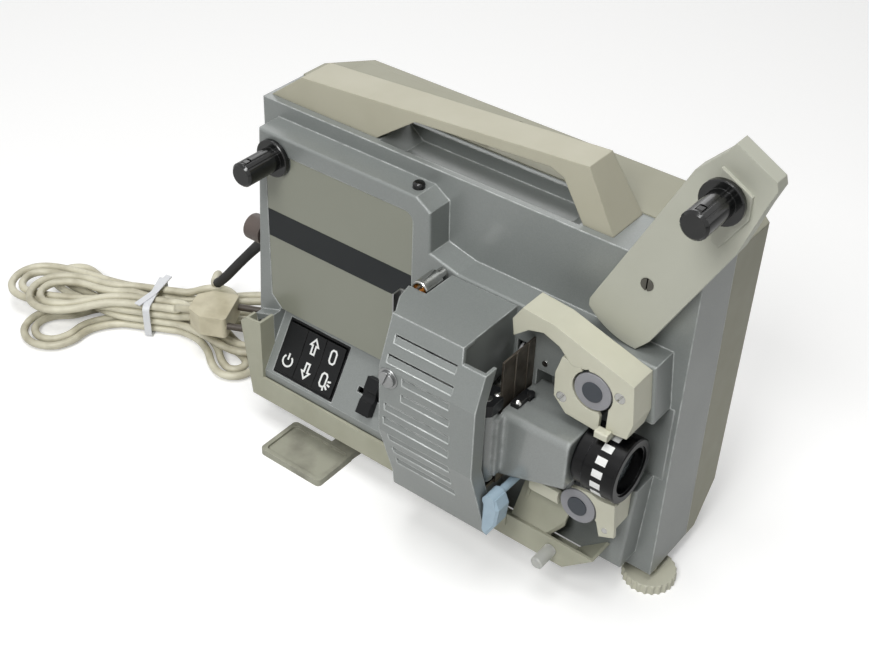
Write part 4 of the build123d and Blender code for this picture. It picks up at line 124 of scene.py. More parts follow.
# A soft blotchy mask: the span of noise between low and high becomes 0 to 1
def noiseMask(tree, place, sizeMm, low, high, detail):
    settings = {"Scale": patternScale(sizeMm), "Detail": detail}
    noise = addNode(tree, "ShaderNodeTexNoise", settings, {"Vector": place})
    spread = {"From Min": low, "From Max": high, "clamp": True}
    return addNode(tree, "ShaderNodeMapRange", spread, {"Value": noise.outputs[0]}).outputs[0]


# Lays a colour over another, as strongly as a share of the mask says
def layOver(tree, below, hexColour, mask, share):
    strength = addNode(tree, "ShaderNodeMath", {"operation": "MULTIPLY", 1: share}, {0: mask}).outputs[0]
    settings = {"Color2": linearColour(hexColour)}
    links = {"Fac": strength}
    if isinstance(below, str):
        settings["Color1"] = linearColour(below)
    else:
        links["Color1"] = below
    return addNode(tree, "ShaderNodeMixRGB", settings, links).outputs[0]


# What every finish has unless it says otherwise. Keys that end in Mm are sizes in mm. Each mask keeps the noise
# between its From and To; polished and dulled are how far smudges pull the roughness down and up
plainFinish = {
    "metallic": 0.0, "roughness": 0.5, "polished": 0.92, "dulled": 1.12, "ior": 1.5, "gloss": 0.5,
    "coat": 0.0, "coatRoughness": 0.1, "clear": 0.0,
    "cloudMm": 25.0, "cloud": 0.25, "cloudFrom": 0.4, "cloudTo": 0.7, "cloudDetail": 3.0,
    "edgeMm": 0.4, "edge": 0.6, "edgeFrom": 0.985, "edgeTo": 0.86,
    "wearMm": 6.0, "wearFrom": 0.4, "wearTo": 0.62, "wearDetail": 3.0,
    "smudgeMm": 12.0, "smudgeFrom": 0.3, "smudgeTo": 0.75, "smudgeDetail": 5.0,
    "grainMm": 0.8, "grainDepthMm": 0.05, "grainDetail": 2.0, "bump": 0.4,
}


def makeFinish(name, ownLook):
    look = {**plainFinish, "stain": ownLook["colour"], **ownLook}
    material, tree, shader, place = startMaterial(name)
    shader.inputs["Metallic"].default_value = look["metallic"]
    shader.inputs["IOR"].default_value = look["ior"]
    shader.inputs["Specular IOR Level"].default_value = look["gloss"]
    shader.inputs["Coat Weight"].default_value = look["coat"]
    shader.inputs["Coat Roughness"].default_value = look["coatRoughness"]
    shader.inputs["Transmission Weight"].default_value = look["clear"]

    def mask(kind):
        return noiseMask(tree, place, *(look[kind + key] for key in ("Mm", "From", "To", "Detail")))

    # clouds of dirt and fading
    colour = layOver(tree, look["colour"], look["stain"], mask("cloud"), look["cloud"])
    if "flakeMm" in look:
        settings = {"Scale": patternScale(look["flakeMm"])}
        flake = addNode(tree, "ShaderNodeTexVoronoi", settings, {"Vector": place})
        bright = addNode(tree, "ShaderNodeSeparateColor", links={0: flake.outputs["Color"]}).outputs[0]
        colour = layOver(tree, colour, look["flakeColour"], bright, look["flake"])
    # edges painted paler, as rubbed wear and as a painted highlight where light catches them: where the rounded
    # normal turns away from the flat one, in patches of the wear noise
    bevel = addNode(tree, "ShaderNodeBevel", {"samples": 4, "Radius": look["edgeMm"] / 1000}).outputs[0]
    if "edgeWearAndHighlightColour" in look:
        facing = addNode(tree, "ShaderNodeNewGeometry").outputs["Normal"]
        dot = addNode(tree, "ShaderNodeVectorMath", {"operation": "DOT_PRODUCT"}, {0: bevel, 1: facing})
        spread = {"From Min": look["edgeFrom"], "From Max": look["edgeTo"], "clamp": True}
        turned = addNode(tree, "ShaderNodeMapRange", spread, {"Value": dot.outputs["Value"]}).outputs[0]
        links = {0: turned, 1: mask("wear")}
        wornAndLitEdges = addNode(tree, "ShaderNodeMath", {"operation": "MULTIPLY"}, links).outputs[0]
        colour = layOver(tree, colour, look["edgeWearAndHighlightColour"], wornAndLitEdges, look["edge"])
    tree.links.new(colour, shader.inputs["Base Color"])
    # smudges make the sheen uneven
    dullest = min(1.0, look["roughness"] * look["dulled"])
    sheen = {"To Min": look["roughness"] * look["polished"], "To Max": dullest}
    roughness = addNode(tree, "ShaderNodeMapRange", sheen, {"Value": mask("smudge")}).outputs[0]
    tree.links.new(roughness, shader.inputs["Roughness"])
    # fine surface grain
    settings = {"Scale": patternScale(look["grainMm"]), "Detail": look["grainDetail"]}
    grain = addNode(tree, "ShaderNodeTexNoise", settings, {"Vector": place}).outputs[0]
    settings = {"Strength": look["bump"], "Distance": look["grainDepthMm"] / 1000}
    bump = addNode(tree, "ShaderNodeBump", settings, {"Height": grain, "Normal": bevel}).outputs[0]
    tree.links.new(bump, shader.inputs["Normal"])
    return material


# Finishes. Sizes are in mm; colours are what the eye reads in plain light
finishes = {
    # aluminium-flake enamel on die casting: soft grey, a painted highlight in near white along the edges, flakes
    # drawn coarse to show
    "silverEnamel": {
        "colour": "#808482", "stain": "#747876", "metallic": 0.12, "roughness": 0.34, "coat": 0.1,
        "edgeMm": 1.1, "flakeMm": 0.35, "flake": 0.1, "flakeColour": "#b4bab7", "edgeWearAndHighlightColour": "#dde1df",
        "edge": 1.0, "wearFrom": 0.2, "smudgeMm": 30.0, "grainMm": 1.1, "grainDepthMm": 0.015, "bump": 0.25,
        "cloudMm": 40.0,
    },
    # ABS with a fine moulded grain: satin beige, slightly yellowed
    "coverPlastic": {
        "colour": "#959483", "stain": "#858371", "roughness": 0.52, "edgeMm": 0.9, "grainMm": 0.7,
        "grainDepthMm": 0.05, "bump": 0.5, "cloudMm": 60.0, "edgeWearAndHighlightColour": "#bdb9a6", "edge": 0.4,
    },
    # the same ABS where hands lift it: paler, with a soft light on the long edges
    "handlePlastic": {
        "colour": "#b0ad9a", "stain": "#9f9b86", "roughness": 0.5, "edgeMm": 0.8, "grainMm": 0.7,
        "grainDepthMm": 0.05, "bump": 0.5, "cloudMm": 30.0, "edgeWearAndHighlightColour": "#cfcab8", "edge": 0.4,
    },
    # ABS with a finer grain: cooler, greyer beige
    "armPlastic": {
        "colour": "#b1b2a5", "stain": "#a3a394", "roughness": 0.5, "edgeMm": 0.6, "grainMm": 0.6,
        "grainDepthMm": 0.04, "bump": 0.5, "cloudMm": 30.0, "edgeWearAndHighlightColour": "#d3d3c8", "edge": 0.5,
    },
    # ABS on the film's way out: dull, with clouds of dirt
    "railPlastic": {
        "colour": "#a5a593", "stain": "#91907c", "roughness": 0.55, "edgeMm": 0.5, "grainMm": 0.6,
        "grainDepthMm": 0.04, "bump": 0.5, "cloudMm": 18.0, "cloud": 0.4, "edgeWearAndHighlightColour": "#c6c5b6",
        "edge": 0.5,
    },
    # ivory ABS, glossier from handling
    "ivoryPlastic": {
        "colour": "#c6c5b3", "stain": "#b4b39e", "roughness": 0.42, "edgeMm": 0.5, "grainMm": 0.6,
        "grainDepthMm": 0.03, "bump": 0.4, "cloudMm": 16.0, "edgeWearAndHighlightColour": "#deddcd", "edge": 0.5,
    },
    # coarse moulded plastic under the machine: matt grey with grimy blotches
    "padPlastic": {
        "colour": "#9e9e8f", "stain": "#77756a", "roughness": 0.7, "edgeMm": 0.4, "grainMm": 1.2,
        "grainDepthMm": 0.08, "bump": 0.7, "cloudMm": 14.0, "cloud": 0.75, "edgeWearAndHighlightColour": "#c9c7b6",
        "edge": 0.6,
    },
    # satin lacquer over sheet aluminium: flat olive grey
    "satinPlate": {
        "colour": "#85877a", "stain": "#7c7e70", "metallic": 0.1, "roughness": 0.34, "coat": 0.2,
        "edgeMm": 0.15, "grainMm": 0.5, "grainDepthMm": 0.01, "bump": 0.3, "cloudMm": 50.0,
        "edgeWearAndHighlightColour": "#c8c9ba", "edge": 0.9,
    },
    # black enamel printed on the plate: flat, even and hardly glossy
    "bandEnamel": {
        "colour": "#171b1d", "stain": "#1d2123", "roughness": 0.42, "gloss": 0.25, "edgeMm": 0.1,
        "grainMm": 0.8, "grainDepthMm": 0.01, "bump": 0.3, "cloudMm": 20.0,
    },
    # black phenolic, polished in the mould: deep gloss with dusty haze
    "blackGloss": {
        "colour": "#0b0c0c", "stain": "#1b1b1a", "roughness": 0.16, "edgeMm": 0.4, "grainMm": 1.5,
        "grainDepthMm": 0.01, "bump": 0.2, "cloudMm": 5.0, "cloud": 0.45, "edgeWearAndHighlightColour": "#4a4a48",
        "edge": 0.5, "smudgeMm": 4.0,
    },
    # black ABS with a fine grain: dull, a little dusty, greyer along the edges
    "blackSatin": {
        "colour": "#0e0f10", "stain": "#171818", "roughness": 0.42, "gloss": 0.22, "edgeMm": 0.4,
        "grainMm": 0.7, "grainDepthMm": 0.03, "bump": 0.4, "cloudMm": 8.0, "cloud": 0.4,
        "edgeWearAndHighlightColour": "#5a5a58", "edge": 0.6,
    },
    # black lacquered steel: dark, with pale grey painted along the edges
    "blackSteel": {
        "colour": "#17181a", "stain": "#2b2a28", "metallic": 0.2, "gloss": 0.3, "roughness": 0.42,
        "edgeMm": 0.3, "grainMm": 0.9, "grainDepthMm": 0.02, "bump": 0.4, "cloudMm": 10.0, "cloud": 0.4,
        "edgeWearAndHighlightColour": "#8b8b88", "edge": 0.8,
    },
    # oiled mild steel: dark brown-grey metal
    "gateSteel": {
        "colour": "#6b6359", "stain": "#3d342c", "metallic": 0.7, "roughness": 0.36, "edgeMm": 0.2,
        "grainMm": 0.5, "grainDepthMm": 0.01, "bump": 0.3, "cloudMm": 6.0, "cloud": 0.6,
        "edgeWearAndHighlightColour": "#b5b2ab", "edge": 0.7,
    },
    # bare rolled steel: an even grey metal shine
    "springSteel": {
        "colour": "#9b9c9c", "stain": "#7f7e7a", "metallic": 1.0, "roughness": 0.3, "edgeMm": 0.2,
        "grainMm": 0.5, "grainDepthMm": 0.01, "bump": 0.2, "cloudMm": 8.0,
    },
    # nickel plate, polished: bright with faint tarnish
    "nickelPlate": {
        "colour": "#c2c2c0", "stain": "#97948c", "metallic": 1.0, "roughness": 0.18, "edgeMm": 0.3,
        "grainMm": 1.0, "grainDepthMm": 0.01, "bump": 0.2, "cloudMm": 3.0, "cloud": 0.4,
    },
    # hard black anodised aluminium, fine turned: a dark skin with a tight highlight
    "blackAnodised": {
        "colour": "#060607", "stain": "#0b0b0c", "roughness": 0.24, "gloss": 0.22, "edgeMm": 0.3,
        "grainMm": 0.4, "grainDepthMm": 0.01, "bump": 0.2, "cloudMm": 8.0, "edgeWearAndHighlightColour": "#6f7072",
        "edge": 0.5,
    },
    # brown ABS, moulded: satin, paler along the edges
    "brownPlastic": {
        "colour": "#574d48", "stain": "#453d38", "roughness": 0.5, "edgeMm": 0.5, "grainMm": 0.8,
        "grainDepthMm": 0.03, "bump": 0.4, "cloudMm": 8.0, "edgeWearAndHighlightColour": "#8b817b", "edge": 0.5,
    },
    # pale blue ABS, moulded: smooth and a little glossy
    "bluePlastic": {
        "colour": "#9fb4c2", "stain": "#7d95a6", "roughness": 0.4, "edgeMm": 0.4, "grainMm": 0.8,
        "grainDepthMm": 0.02, "bump": 0.3, "cloudMm": 6.0, "edgeWearAndHighlightColour": "#c3d5e2", "edge": 0.6,
    },
    # frosted acrylic: clear with a matt skin
    "frostedAcrylic": {
        "colour": "#d9dad6", "stain": "#c3c3bb", "roughness": 0.34, "clear": 0.55, "ior": 1.49,
        "edgeMm": 0.3, "grainMm": 0.8, "grainDepthMm": 0.02, "bump": 0.3, "cloudMm": 4.0,
    },
    # coated optical glass: half clear, with a sharp reflection
    "lensGlass": {
        "colour": "#7d878c", "roughness": 0.03, "clear": 0.6, "ior": 1.52, "coat": 0.5, "edgeMm": 0.05,
        "grainMm": 2.0, "grainDepthMm": 0.001, "bump": 0.05,
    },
    # mirror-coated glass of the lamp: bright, slightly mottled
    "reflectorGlass": {
        "colour": "#d8d9d6", "stain": "#c9c8c0", "metallic": 0.8, "roughness": 0.15, "edgeMm": 0.2,
        "cloudMm": 8.0, "grainMm": 2.0, "grainDepthMm": 0.02,
    },
    # unglazed ceramic: creamy and nearly matt
    "ceramicWhite": {
        "colour": "#dedbd2", "stain": "#c8c3b4", "roughness": 0.45, "edgeMm": 0.3, "grainMm": 0.9,
        "cloudMm": 6.0,
    },
    # vulcanised rubber: soft dull black with dust in it
    "blackRubber": {
        "colour": "#1b1b1b", "stain": "#2c2b2a", "roughness": 0.75, "edgeMm": 0.4, "grainMm": 0.8,
        "grainDepthMm": 0.05, "bump": 0.6, "cloudMm": 10.0, "cloud": 0.5,
    },
    # nylon strip: cool white with a soft sheen
    "whiteNylon": {
        "colour": "#dfe1e4", "stain": "#cfd1d3", "roughness": 0.4, "edgeMm": 0.2, "grainMm": 1.0,
        "cloudMm": 5.0,
    },
    # soft PVC sheath: cream, grimy from handling
    "cordPvc": {
        "colour": "#d6d2bd", "stain": "#a19b84", "roughness": 0.45, "edgeMm": 0.1, "grainMm": 1.6,
        "grainDepthMm": 0.05, "bump": 0.5, "cloudMm": 14.0, "cloud": 0.75,
    },
    # moulded PVC of the plug: yellower than the cord, in a low gloss
    "plugPvc": {
        "colour": "#c9c2a8", "stain": "#a1987c", "roughness": 0.45, "edgeMm": 0.6, "grainMm": 1.2,
        "grainDepthMm": 0.04, "bump": 0.4, "cloudMm": 10.0, "cloud": 0.5, "edgeWearAndHighlightColour": "#e0d8be",
        "edge": 0.4,
    },
    # white printing ink: flat and a little uneven
    "whitePaint": {
        "colour": "#e4e5e3", "stain": "#c4c5c2", "roughness": 0.4, "edgeMm": 0.05, "grainMm": 0.6,
        "cloudMm": 3.0,
    },
    # amber lacquer: small orange spot with yellow worn into it
    "amberPaint": {
        "colour": "#d9762a", "stain": "#c9b23c", "roughness": 0.35, "cloudMm": 1.5, "cloud": 0.8,
    },
    # grey ABS of the sprocket discs: even, in a low gloss
    "discPlastic": {
        "colour": "#858589", "stain": "#75757a", "roughness": 0.36, "gloss": 0.3, "edgeMm": 0.2,
        "grainMm": 0.8, "grainDepthMm": 0.01, "cloudMm": 6.0,
    },
}
# the lens housing has softer edges, with a broad painted highlight along them, and a glossier skin
finishes["silverCasting"] = {
    **finishes["silverEnamel"], "edgeMm": 3.0, "edge": 0.5, "roughness": 0.2, "coat": 0.8,
}
# paler silver, a painted highlight: the beads along the louvres' lower edges wear it as a highlight line, and
# the rivet in the recess wall wears it too
finishes["highlightSilver"] = {
    **finishes["silverEnamel"], "colour": "#c3c8c6", "stain": "#a3a8a6", "roughness": 0.25,
}
materials = {name: makeFinish(name, look) for name, look in finishes.items()}


# A copy of a finish, with the sockets that a change of its colour needs
def copyFinish(name, base):
    material = materials[base].copy()
    material.name = name
    tree = material.node_tree
    colour = next(node for node in tree.nodes if node.type == "BSDF_PRINCIPLED").inputs["Base Color"]
    place = next(node for node in tree.nodes if node.type == "TEX_COORD").outputs["Object"]
    return material, tree, colour, place


# A finish whose colour changes with the distance from an axis along y, such as a printed disc
def zoneFinish(name, base, centre, look):
    material, tree, target, place = copyFinish(name, base)
    flat = addNode(tree, "ShaderNodeVectorMath", {"operation": "MULTIPLY", 1: (1, 0, 1)}, {0: place}).outputs[0]
    middle = Vector((centre.x, 0, centre.z))
    away = addNode(tree, "ShaderNodeVectorMath", {"operation": "SUBTRACT", 1: middle}, {0: flat}).outputs[0]
    away = addNode(tree, "ShaderNodeVectorMath", {"operation": "LENGTH"}, {0: away}).outputs["Value"]
    colour = target.links[0].from_socket
    for radiusMm, hexColour in look["zones"]:
        settings = {"operation": "LESS_THAN", 1: radiusMm / 1000}
        inside = addNode(tree, "ShaderNodeMath", settings, {0: away}).outputs[0]
        colour = layOver(tree, colour, hexColour, inside, look["strength"])
    tree.links.new(colour, target)
    return material


# A finish that changes colour past a plane, such as the pins of a plug
def halfFinish(name, base, point, way, hexColour):
    material, tree, target, place = copyFinish(name, base)
    settings = {"operation": "DOT_PRODUCT", 1: way}
    along = addNode(tree, "ShaderNodeVectorMath", settings, {0: place}).outputs["Value"]
    settings = {"operation": "GREATER_THAN", 1: point.dot(way)}
    past = addNode(tree, "ShaderNodeMath", settings, {0: along}).outputs[0]
    tree.links.new(layOver(tree, target.links[0].from_socket, hexColour, past, 1.0), target)
    return material


print("finishes ready")

nodeFinish = {
    "silverEnamel": ("front_housing", "lens_bay_floor", "lamp_house_cover"),
    "silverCasting": ("lens_carrier",),
    "coverPlastic": ("rear_cover",),
    "handlePlastic": ("carry_handle",),
    "armPlastic": ("supply_arm",),
    "railPlastic": ("film_channel", "lower_film_guide"),
    "ivoryPlastic": ("upper_guard", "upper_shoe", "lower_shoe", "front_foot"),
    "padPlastic": ("swing_pad",),
    "satinPlate": ("panel_plate",),
    "blackGloss": ("takeup_spindle", "takeup_latch", "supply_spindle", "supply_latch", "top_button"),
    "blackSatin": ("switch_block", "key_motor", "key_direction", "key_lamp", "speed_lever"),
    "blackSteel": ("base_plate", "gate_finger", "hinge_block", "motor_body", "transformer"),
    "gateSteel": ("gate_plate",),
    "springSteel": (
        "cover_clip", "pad_screw", "chassis_plate", "motor_rotor", "main_shaft", "timing_shaft", "claw_arm",
        "cover_screw",
    ),
    "nickelPlate": ("exit_roller", "face_screws", "hinge_pin", "framing_pin"),
    "blackAnodised": ("lens_barrel", "zoom_ring"),
    "brownPlastic": ("side_knob",),
    "bluePlastic": ("loop_lever",),
    "frostedAcrylic": ("rail_knob",),
    "lensGlass": ("front_lens",),
    "reflectorGlass": ("lamp",),
    "ceramicWhite": ("lamp_holder",),
    "blackRubber": ("rubber_feet", "drive_belt", "cord_sleeve"),
    "whiteNylon": ("cable_tie",),
    "cordPvc": ("mains_cord", "cord_hank"),
    "plugPvc": ("mains_plug",),
}


def dress(nodeName, material):
    nodes[nodeName].data.materials.clear()
    nodes[nodeName].data.materials.append(material)


for finishName, nodeNames in nodeFinish.items():
    for nodeName in nodeNames:
        dress(nodeName, materials[finishName])

# The arm's pivot screw has a darkened head, and each sprocket's disc is printed in two greys
pivotLook = {"zones": ((4.5, "#4a473f"),), "strength": 0.9}
joints = frame["record"]["behaviour"]["joints"]
pivotPlace = Vector(next(joint["pos_m"] for joint in joints if joint["name"] == "supply_arm_fold"))
dress("face_screws", zoneFinish("nickelWithDarkPivot", "nickelPlate", pivotPlace, pivotLook))
discLook = {
    "x": 207.3, "heights": {"upper": 130.1, "lower": 62.1}, "zones": ((9.4, "#909094"), (5.0, "#2c333b")),
    "strength": 0.9,
}
for level, height in discLook["heights"].items():
    printed = zoneFinish(level + "DiscPrint", "discPlastic", at(discLook["x"], 0, height), discLook)
    dress(level + "_sprocket", printed)
print("nodes dressed")


# Shared helpers for pieces
def addPiece(name, data, material, body, replaced=()):
    piece = addObject(name, data)
    data.materials.clear()
    data.materials.append(material)
    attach(piece, body)
    if replaced:
        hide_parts(*replaced)
    return piece


# An object's final shape as a plain mesh; the object itself goes
def plainMesh(holder):
    mesh = bpy.data.meshes.new_from_object(holder.evaluated_get(bpy.context.evaluated_depsgraph_get()))
    bpy.data.objects.remove(holder)
    return mesh


# Adds a turned shape to a bmesh: the profile is (along, radius) in mm, from root to tip
def addTurned(shape, profile, sides, place, axis):
    lie = Vector(axis).to_track_quat("Z", "Y").to_matrix().to_4x4()
    matrix = Matrix.Translation(place) @ lie @ Matrix.Scale(0.001, 4)
    rings = []
    for along, radius in profile:
        ring = []
        for side in range(sides if radius else 1):
            turn = 2 * math.pi * side / sides
            spot = Vector((radius * math.cos(turn), radius * math.sin(turn), along))
            ring.append(shape.verts.new(matrix @ spot))
        rings.append(ring)
    for lower, upper in zip(rings, rings[1:]):
        for side in range(sides):
            after = (side + 1) % sides
            spots = ((lower, side), (lower, after), (upper, after), (upper, side))
            corners = [ring[index % len(ring)] for ring, index in spots]
            shape.faces.new(list(dict.fromkeys(corners)))
    bmesh.ops.recalc_face_normals(shape, faces=shape.faces)


def turnedMesh(name, profile, sides, place, axis):
    mesh = bpy.data.meshes.new(name)
    shape = bmesh.new()
    addTurned(shape, profile, sides, place, axis)
    shape.to_mesh(mesh)
    shape.free()
    for face in mesh.polygons:
        face.use_smooth = True
    mesh.set_sharp_from_angle(angle=math.radians(35))
    return mesh


# Geometry Nodes trees: start with the inputs, end with one plain painted mesh, and grow makes it
def startTree(name, inputs):
    tree = bpy.data.node_groups.new(name, "GeometryNodeTree")
    tree.is_modifier = True
    for inputName, kind in inputs.items():
        tree.interface.new_socket(inputName, in_out="INPUT", socket_type=kind)
    tree.interface.new_socket("Geometry", in_out="OUTPUT", socket_type="NodeSocketGeometry")
    return tree, addNode(tree, "NodeGroupInput").outputs


def endTree(tree, geometry, finish):
    real = addNode(tree, "GeometryNodeRealizeInstances", links={0: geometry}).outputs[0]
    painted = addNode(tree, "GeometryNodeSetMaterial", links={"Geometry": real, "Material": finish}).outputs[0]
    addNode(tree, "NodeGroupOutput", links={0: painted})


def grow(name, tree, values):
    holder = addObject(name, bpy.data.meshes.new(name))
    modifier = holder.modifiers.new("grow", "NODES")
    modifier.node_group = tree
    for item in tree.interface.items_tree:
        if item.in_out == "INPUT" and item.name in values:
            modifier[item.identifier] = values[item.name]
    holder.update_tag()
    return plainMesh(holder)


# Mains cord, in mm: leaves the gland on the left side in a black sleeve, then lies wound in a tied hank.
# The hank is layers of loops through a narrow waist. Each layer has its own reach, belly and fan at each end
cordShape = {
    "radiusMm": 2.3, "lengthM": 2.68, "splineOrder": 3, "splineSteps": 8, "roundness": 3,
    "sleeveRadiusMm": 2.9, "sleeveSwell": (1.75, 1.6, 1.2, 1.0, 1.0, 1.0, 1.0),
    "sleeveRoute": (
        (-12.9, 36.0, 92.0), (-22.5, 35.8, 90.0), (-33.0, 33.6, 80.0), (-43.0, 31.4, 68.0),
        (-52.5, 29.8, 56.0), (-62.4, 27.0, 42.4), (-69.6, 29.6, 36.0),
    ),
    "freeRoute": ((-74.1, 31.2, 32.0), (-78.5, 35.2, 30.0), (-82.1, 40.3, 29.7), (-85.4, 45.1, 27.2)),
    "hankPlace": (-106.0, 12.0), "hankTurn": 28.0, "layers": 4, "loopsPerLayer": 2, "loopPitch": 6.2,
    "bottomMm": 3.4, "layerPitch": 5.2, "waistLength": 24.0, "waistHalf": 13.4, "bendRadius": 42.0,
    "leftReach": (20.0, 28.0, 60.0, 38.0), "rightReach": (24.0, 34.0, 42.0, 22.0),
    "leftBelly": (19.0, 17.0, 19.0, 22.0), "rightBelly": (17.0, 16.0, 17.0, 21.0),
    "leftFan": (-42.0, 33.0, 4.0, -10.0), "rightFan": (-48.0, -22.0, 13.0, 2.0),
    "wideFan": 15, "tipCorners": 4,
    "leadStart": (33.0, 23.5, 22.5), "leadTurn": (25.0, 20.0), "leadTurnWay": (-0.8, -0.6),
    "plugRear": (31.0, -20.0, 28.0), "plugTurn": -3.0, "plugBody": 24.05, "shadedPinColour": "#3d352c",
}


def layerLevel(layer):
    return cordShape["bottomMm"] + layer * cordShape["layerPitch"]


# Two spline corners that lead from one point and way to another, both equally far from their ends
def easyCorners(start, startWay, end, endWay):
    span = end - start
    across = span.dot(startWay + endWay)
    square = 2 * startWay.dot(endWay) - 2
    if abs(square) < 1e-6:  # the two ways are the same
        reach = span.length ** 2 / (2 * across)
    else:
        reach = (across - math.sqrt(across ** 2 - square * span.length ** 2)) / square
    return [start + startWay * reach, end - endWay * reach]


# Spline corners that follow an arc round a centre
def bendCorners(centre, start, angle, count):
    corners = []
    arm = start - centre
    for index in range(count):
        turn = Matrix.Rotation(angle * (2 * index + 1) / (2 * count), 3, "Z")
        corners.append(centre + (turn @ arm) / math.cos(angle / (2 * count)))
    return corners


# One loop at an end of the hank, from where it leaves the waist to where it comes back
def petalCorners(out, layer, fromAcross, toAcross, fromShare, toShare):
    side = "left" if out < 0 else "right"
    reach, belly, fan = (cordShape[side + key][layer] for key in ("Reach", "Belly", "Fan"))
    angle = math.radians(fan)
    level = layerLevel(layer)
    fromSide = math.copysign(1, fromAcross)
    bendCentre = Vector((0, math.copysign(cordShape["bendRadius"], angle), 0))
    turned = Matrix.Rotation(angle, 3, "Z")

    def outward(point):
        return Vector((out * (cordShape["waistLength"] / 2 + point.x), point.y, level))

    def spot(along, across):
        return outward(bendCentre + turned @ (Vector((along, across, 0)) - bendCentre))

    def bend(across):
        parts = 1 if abs(fan) < cordShape["wideFan"] else 2
        return [outward(point) for point in bendCorners(bendCentre, Vector((0, across, 0)), angle, parts)]

    way = (spot(reach, 0) - spot(0, 0)).normalized()
    first = spot(reach, fromSide * (belly - fromShare * cordShape["loopPitch"]))
    second = spot(reach, -fromSide * (belly - toShare * cordShape["loopPitch"]))
    corners = bend(fromAcross) + easyCorners(spot(0, fromAcross), way, first, way)
    corners += bendCorners((first + second) / 2, first, -fromSide * out * math.pi, cordShape["tipCorners"])
    corners += easyCorners(second, -way, spot(0, toAcross), -way)
    return corners + bend(toAcross)[::-1]


# The whole hank, from the free lead to the plug. Its passes through the waist shift by half a loop each
def hankCorners(leadWay, plugWay):
    half = cordShape["waistLength"] / 2
    turn = Vector((*cordShape["leadTurn"], layerLevel(0)))
    turnWay = Vector((*cordShape["leadTurnWay"], 0)).normalized()
    corners = easyCorners(Vector(cordShape["leadStart"]), leadWay, turn, turnWay)
    passes = 2 * cordShape["loopsPerLayer"]
    for index in range(passes * cordShape["layers"]):
        share = min(index % (2 * passes), 2 * passes - index % (2 * passes)) / 2
        out = -1 if index % 2 == 0 else 1
        across = -out * (cordShape["waistHalf"] - share * cordShape["loopPitch"])
        layerBefore = max(index - 1, 0) // passes
        start = Vector((-out * half, across, layerLevel(layerBefore)))
        end = Vector((out * half, across, layerLevel(index // passes)))
        if index == 0:
            corners += easyCorners(turn, turnWay, start, Vector((out, 0, 0)))
        else:
            corners += petalCorners(-out, layerBefore, acrossBefore, across, shareBefore, share)
        corners += [start, end]
        acrossBefore, shareBefore = across, share
    plugRear = Vector(cordShape["plugRear"])
    straightFrom = plugRear - plugWay * cordShape["radiusMm"] * 2
    return corners + easyCorners(end, Vector((1, 0, 0)), straightFrom, plugWay) + [plugRear]


def splineTube(name, points, swells, radiusMm):
    curve = bpy.data.curves.new(name, "CURVE")
    curve.dimensions = "3D"
    spline = curve.splines.new("NURBS")
    spline.points.add(len(points) - 1)
    for target, point, swell in zip(spline.points, points, swells):
        target.co = (*point, 1.0)
        target.radius = swell
    spline.order_u = cordShape["splineOrder"]
    spline.use_endpoint_u = True
    curve.resolution_u = cordShape["splineSteps"]
    curve.bevel_depth = radiusMm / 1000
    curve.bevel_resolution = cordShape["roundness"]
    curve.use_fill_caps = True
    return curve


hankTurn = Matrix.Rotation(math.radians(cordShape["hankTurn"]), 3, "Z")
hankOrigin = Vector((*cordShape["hankPlace"], 0))
hankLead = hankOrigin + hankTurn @ Vector(cordShape["leadStart"])
leadWay = hankTurn.inverted() @ (hankLead - Vector(cordShape["freeRoute"][-1])).normalized()
plugWay = Matrix.Rotation(math.radians(cordShape["plugTurn"]), 3, "Z") @ Vector((1, 0, 0))
cordPoints = [at(*point) for point in cordShape["sleeveRoute"] + cordShape["freeRoute"]]
cordPoints.append(at(*hankLead))
cordPoints += [at(*(hankOrigin + hankTurn @ corner)) for corner in hankCorners(leadWay, plugWay)]
cordTube = splineTube("mainsCord", cordPoints, [1.0] * len(cordPoints), cordShape["radiusMm"])
mainsCord = addPiece(
    "mainsCord", cordTube, materials["cordPvc"], "housing", ("mains_cord", "cord_hank")
)
pinWay = hankTurn @ plugWay
pinRoot = at(*(hankOrigin + hankTurn @ Vector(cordShape["plugRear"]) + pinWay * cordShape["plugBody"]))
# the plug's pins are painted dark brown: brass pins in painted shade
dress("mains_plug", halfFinish("plugWithPins", "plugPvc", pinRoot, pinWay, cordShape["shadedPinColour"]))

# The sleeve is a soft black tube whose root swells into the boot, behind the gland's flange
glandLook = {
    "place": (-9.9, 36.0, 92.0), "flangeRadius": 6.2, "flange": 3.0, "rim": 0.6, "body": 5.0, "bodyLength": 4.2,
    "root": -2.5, "sides": 36,
}


def addGland(mesh, look):
    profile = (
        (look["root"], 0), (look["root"], look["body"]), (0, look["body"]), (0, look["flangeRadius"]),
        (look["flange"] - look["rim"], look["flangeRadius"]),
        (look["flange"], look["flangeRadius"] - look["rim"]),
        (look["flange"], look["body"]), (look["bodyLength"], look["body"]), (look["bodyLength"], 0),
    )
    shape = bmesh.new()
    shape.from_mesh(mesh)
    addTurned(shape, profile, look["sides"], at(*look["place"]), (-1, 0, 0))
    shape.to_mesh(mesh)
    shape.free()


sleevePoints = [at(*point) for point in cordShape["sleeveRoute"]]
sleeveTube = splineTube("sleeveTube", sleevePoints, cordShape["sleeveSwell"], cordShape["sleeveRadiusMm"])
sleeveMesh = plainMesh(addObject("sleeveTube", sleeveTube))
addGland(sleeveMesh, glandLook)
cordSleeve = addPiece(
    "cordSleeve", sleeveMesh, materials["blackRubber"], "housing", ("cord_sleeve",)
)
print("cord laid")


# Zoom ring: white squares round its middle. Sizes are in mm, turns in degrees but firstTurn in radians
zoomLook = {
    "left": 212.6, "depth": -10.0, "height": 93.0, "radius": 16.0, "marks": 16, "firstTurn": 0.12,
    "markFrom": 4.9, "markTo": 10.0, "markTurn": 12.5, "markSteps": 6, "proud": 0.12, "sunk": 0.3,
}


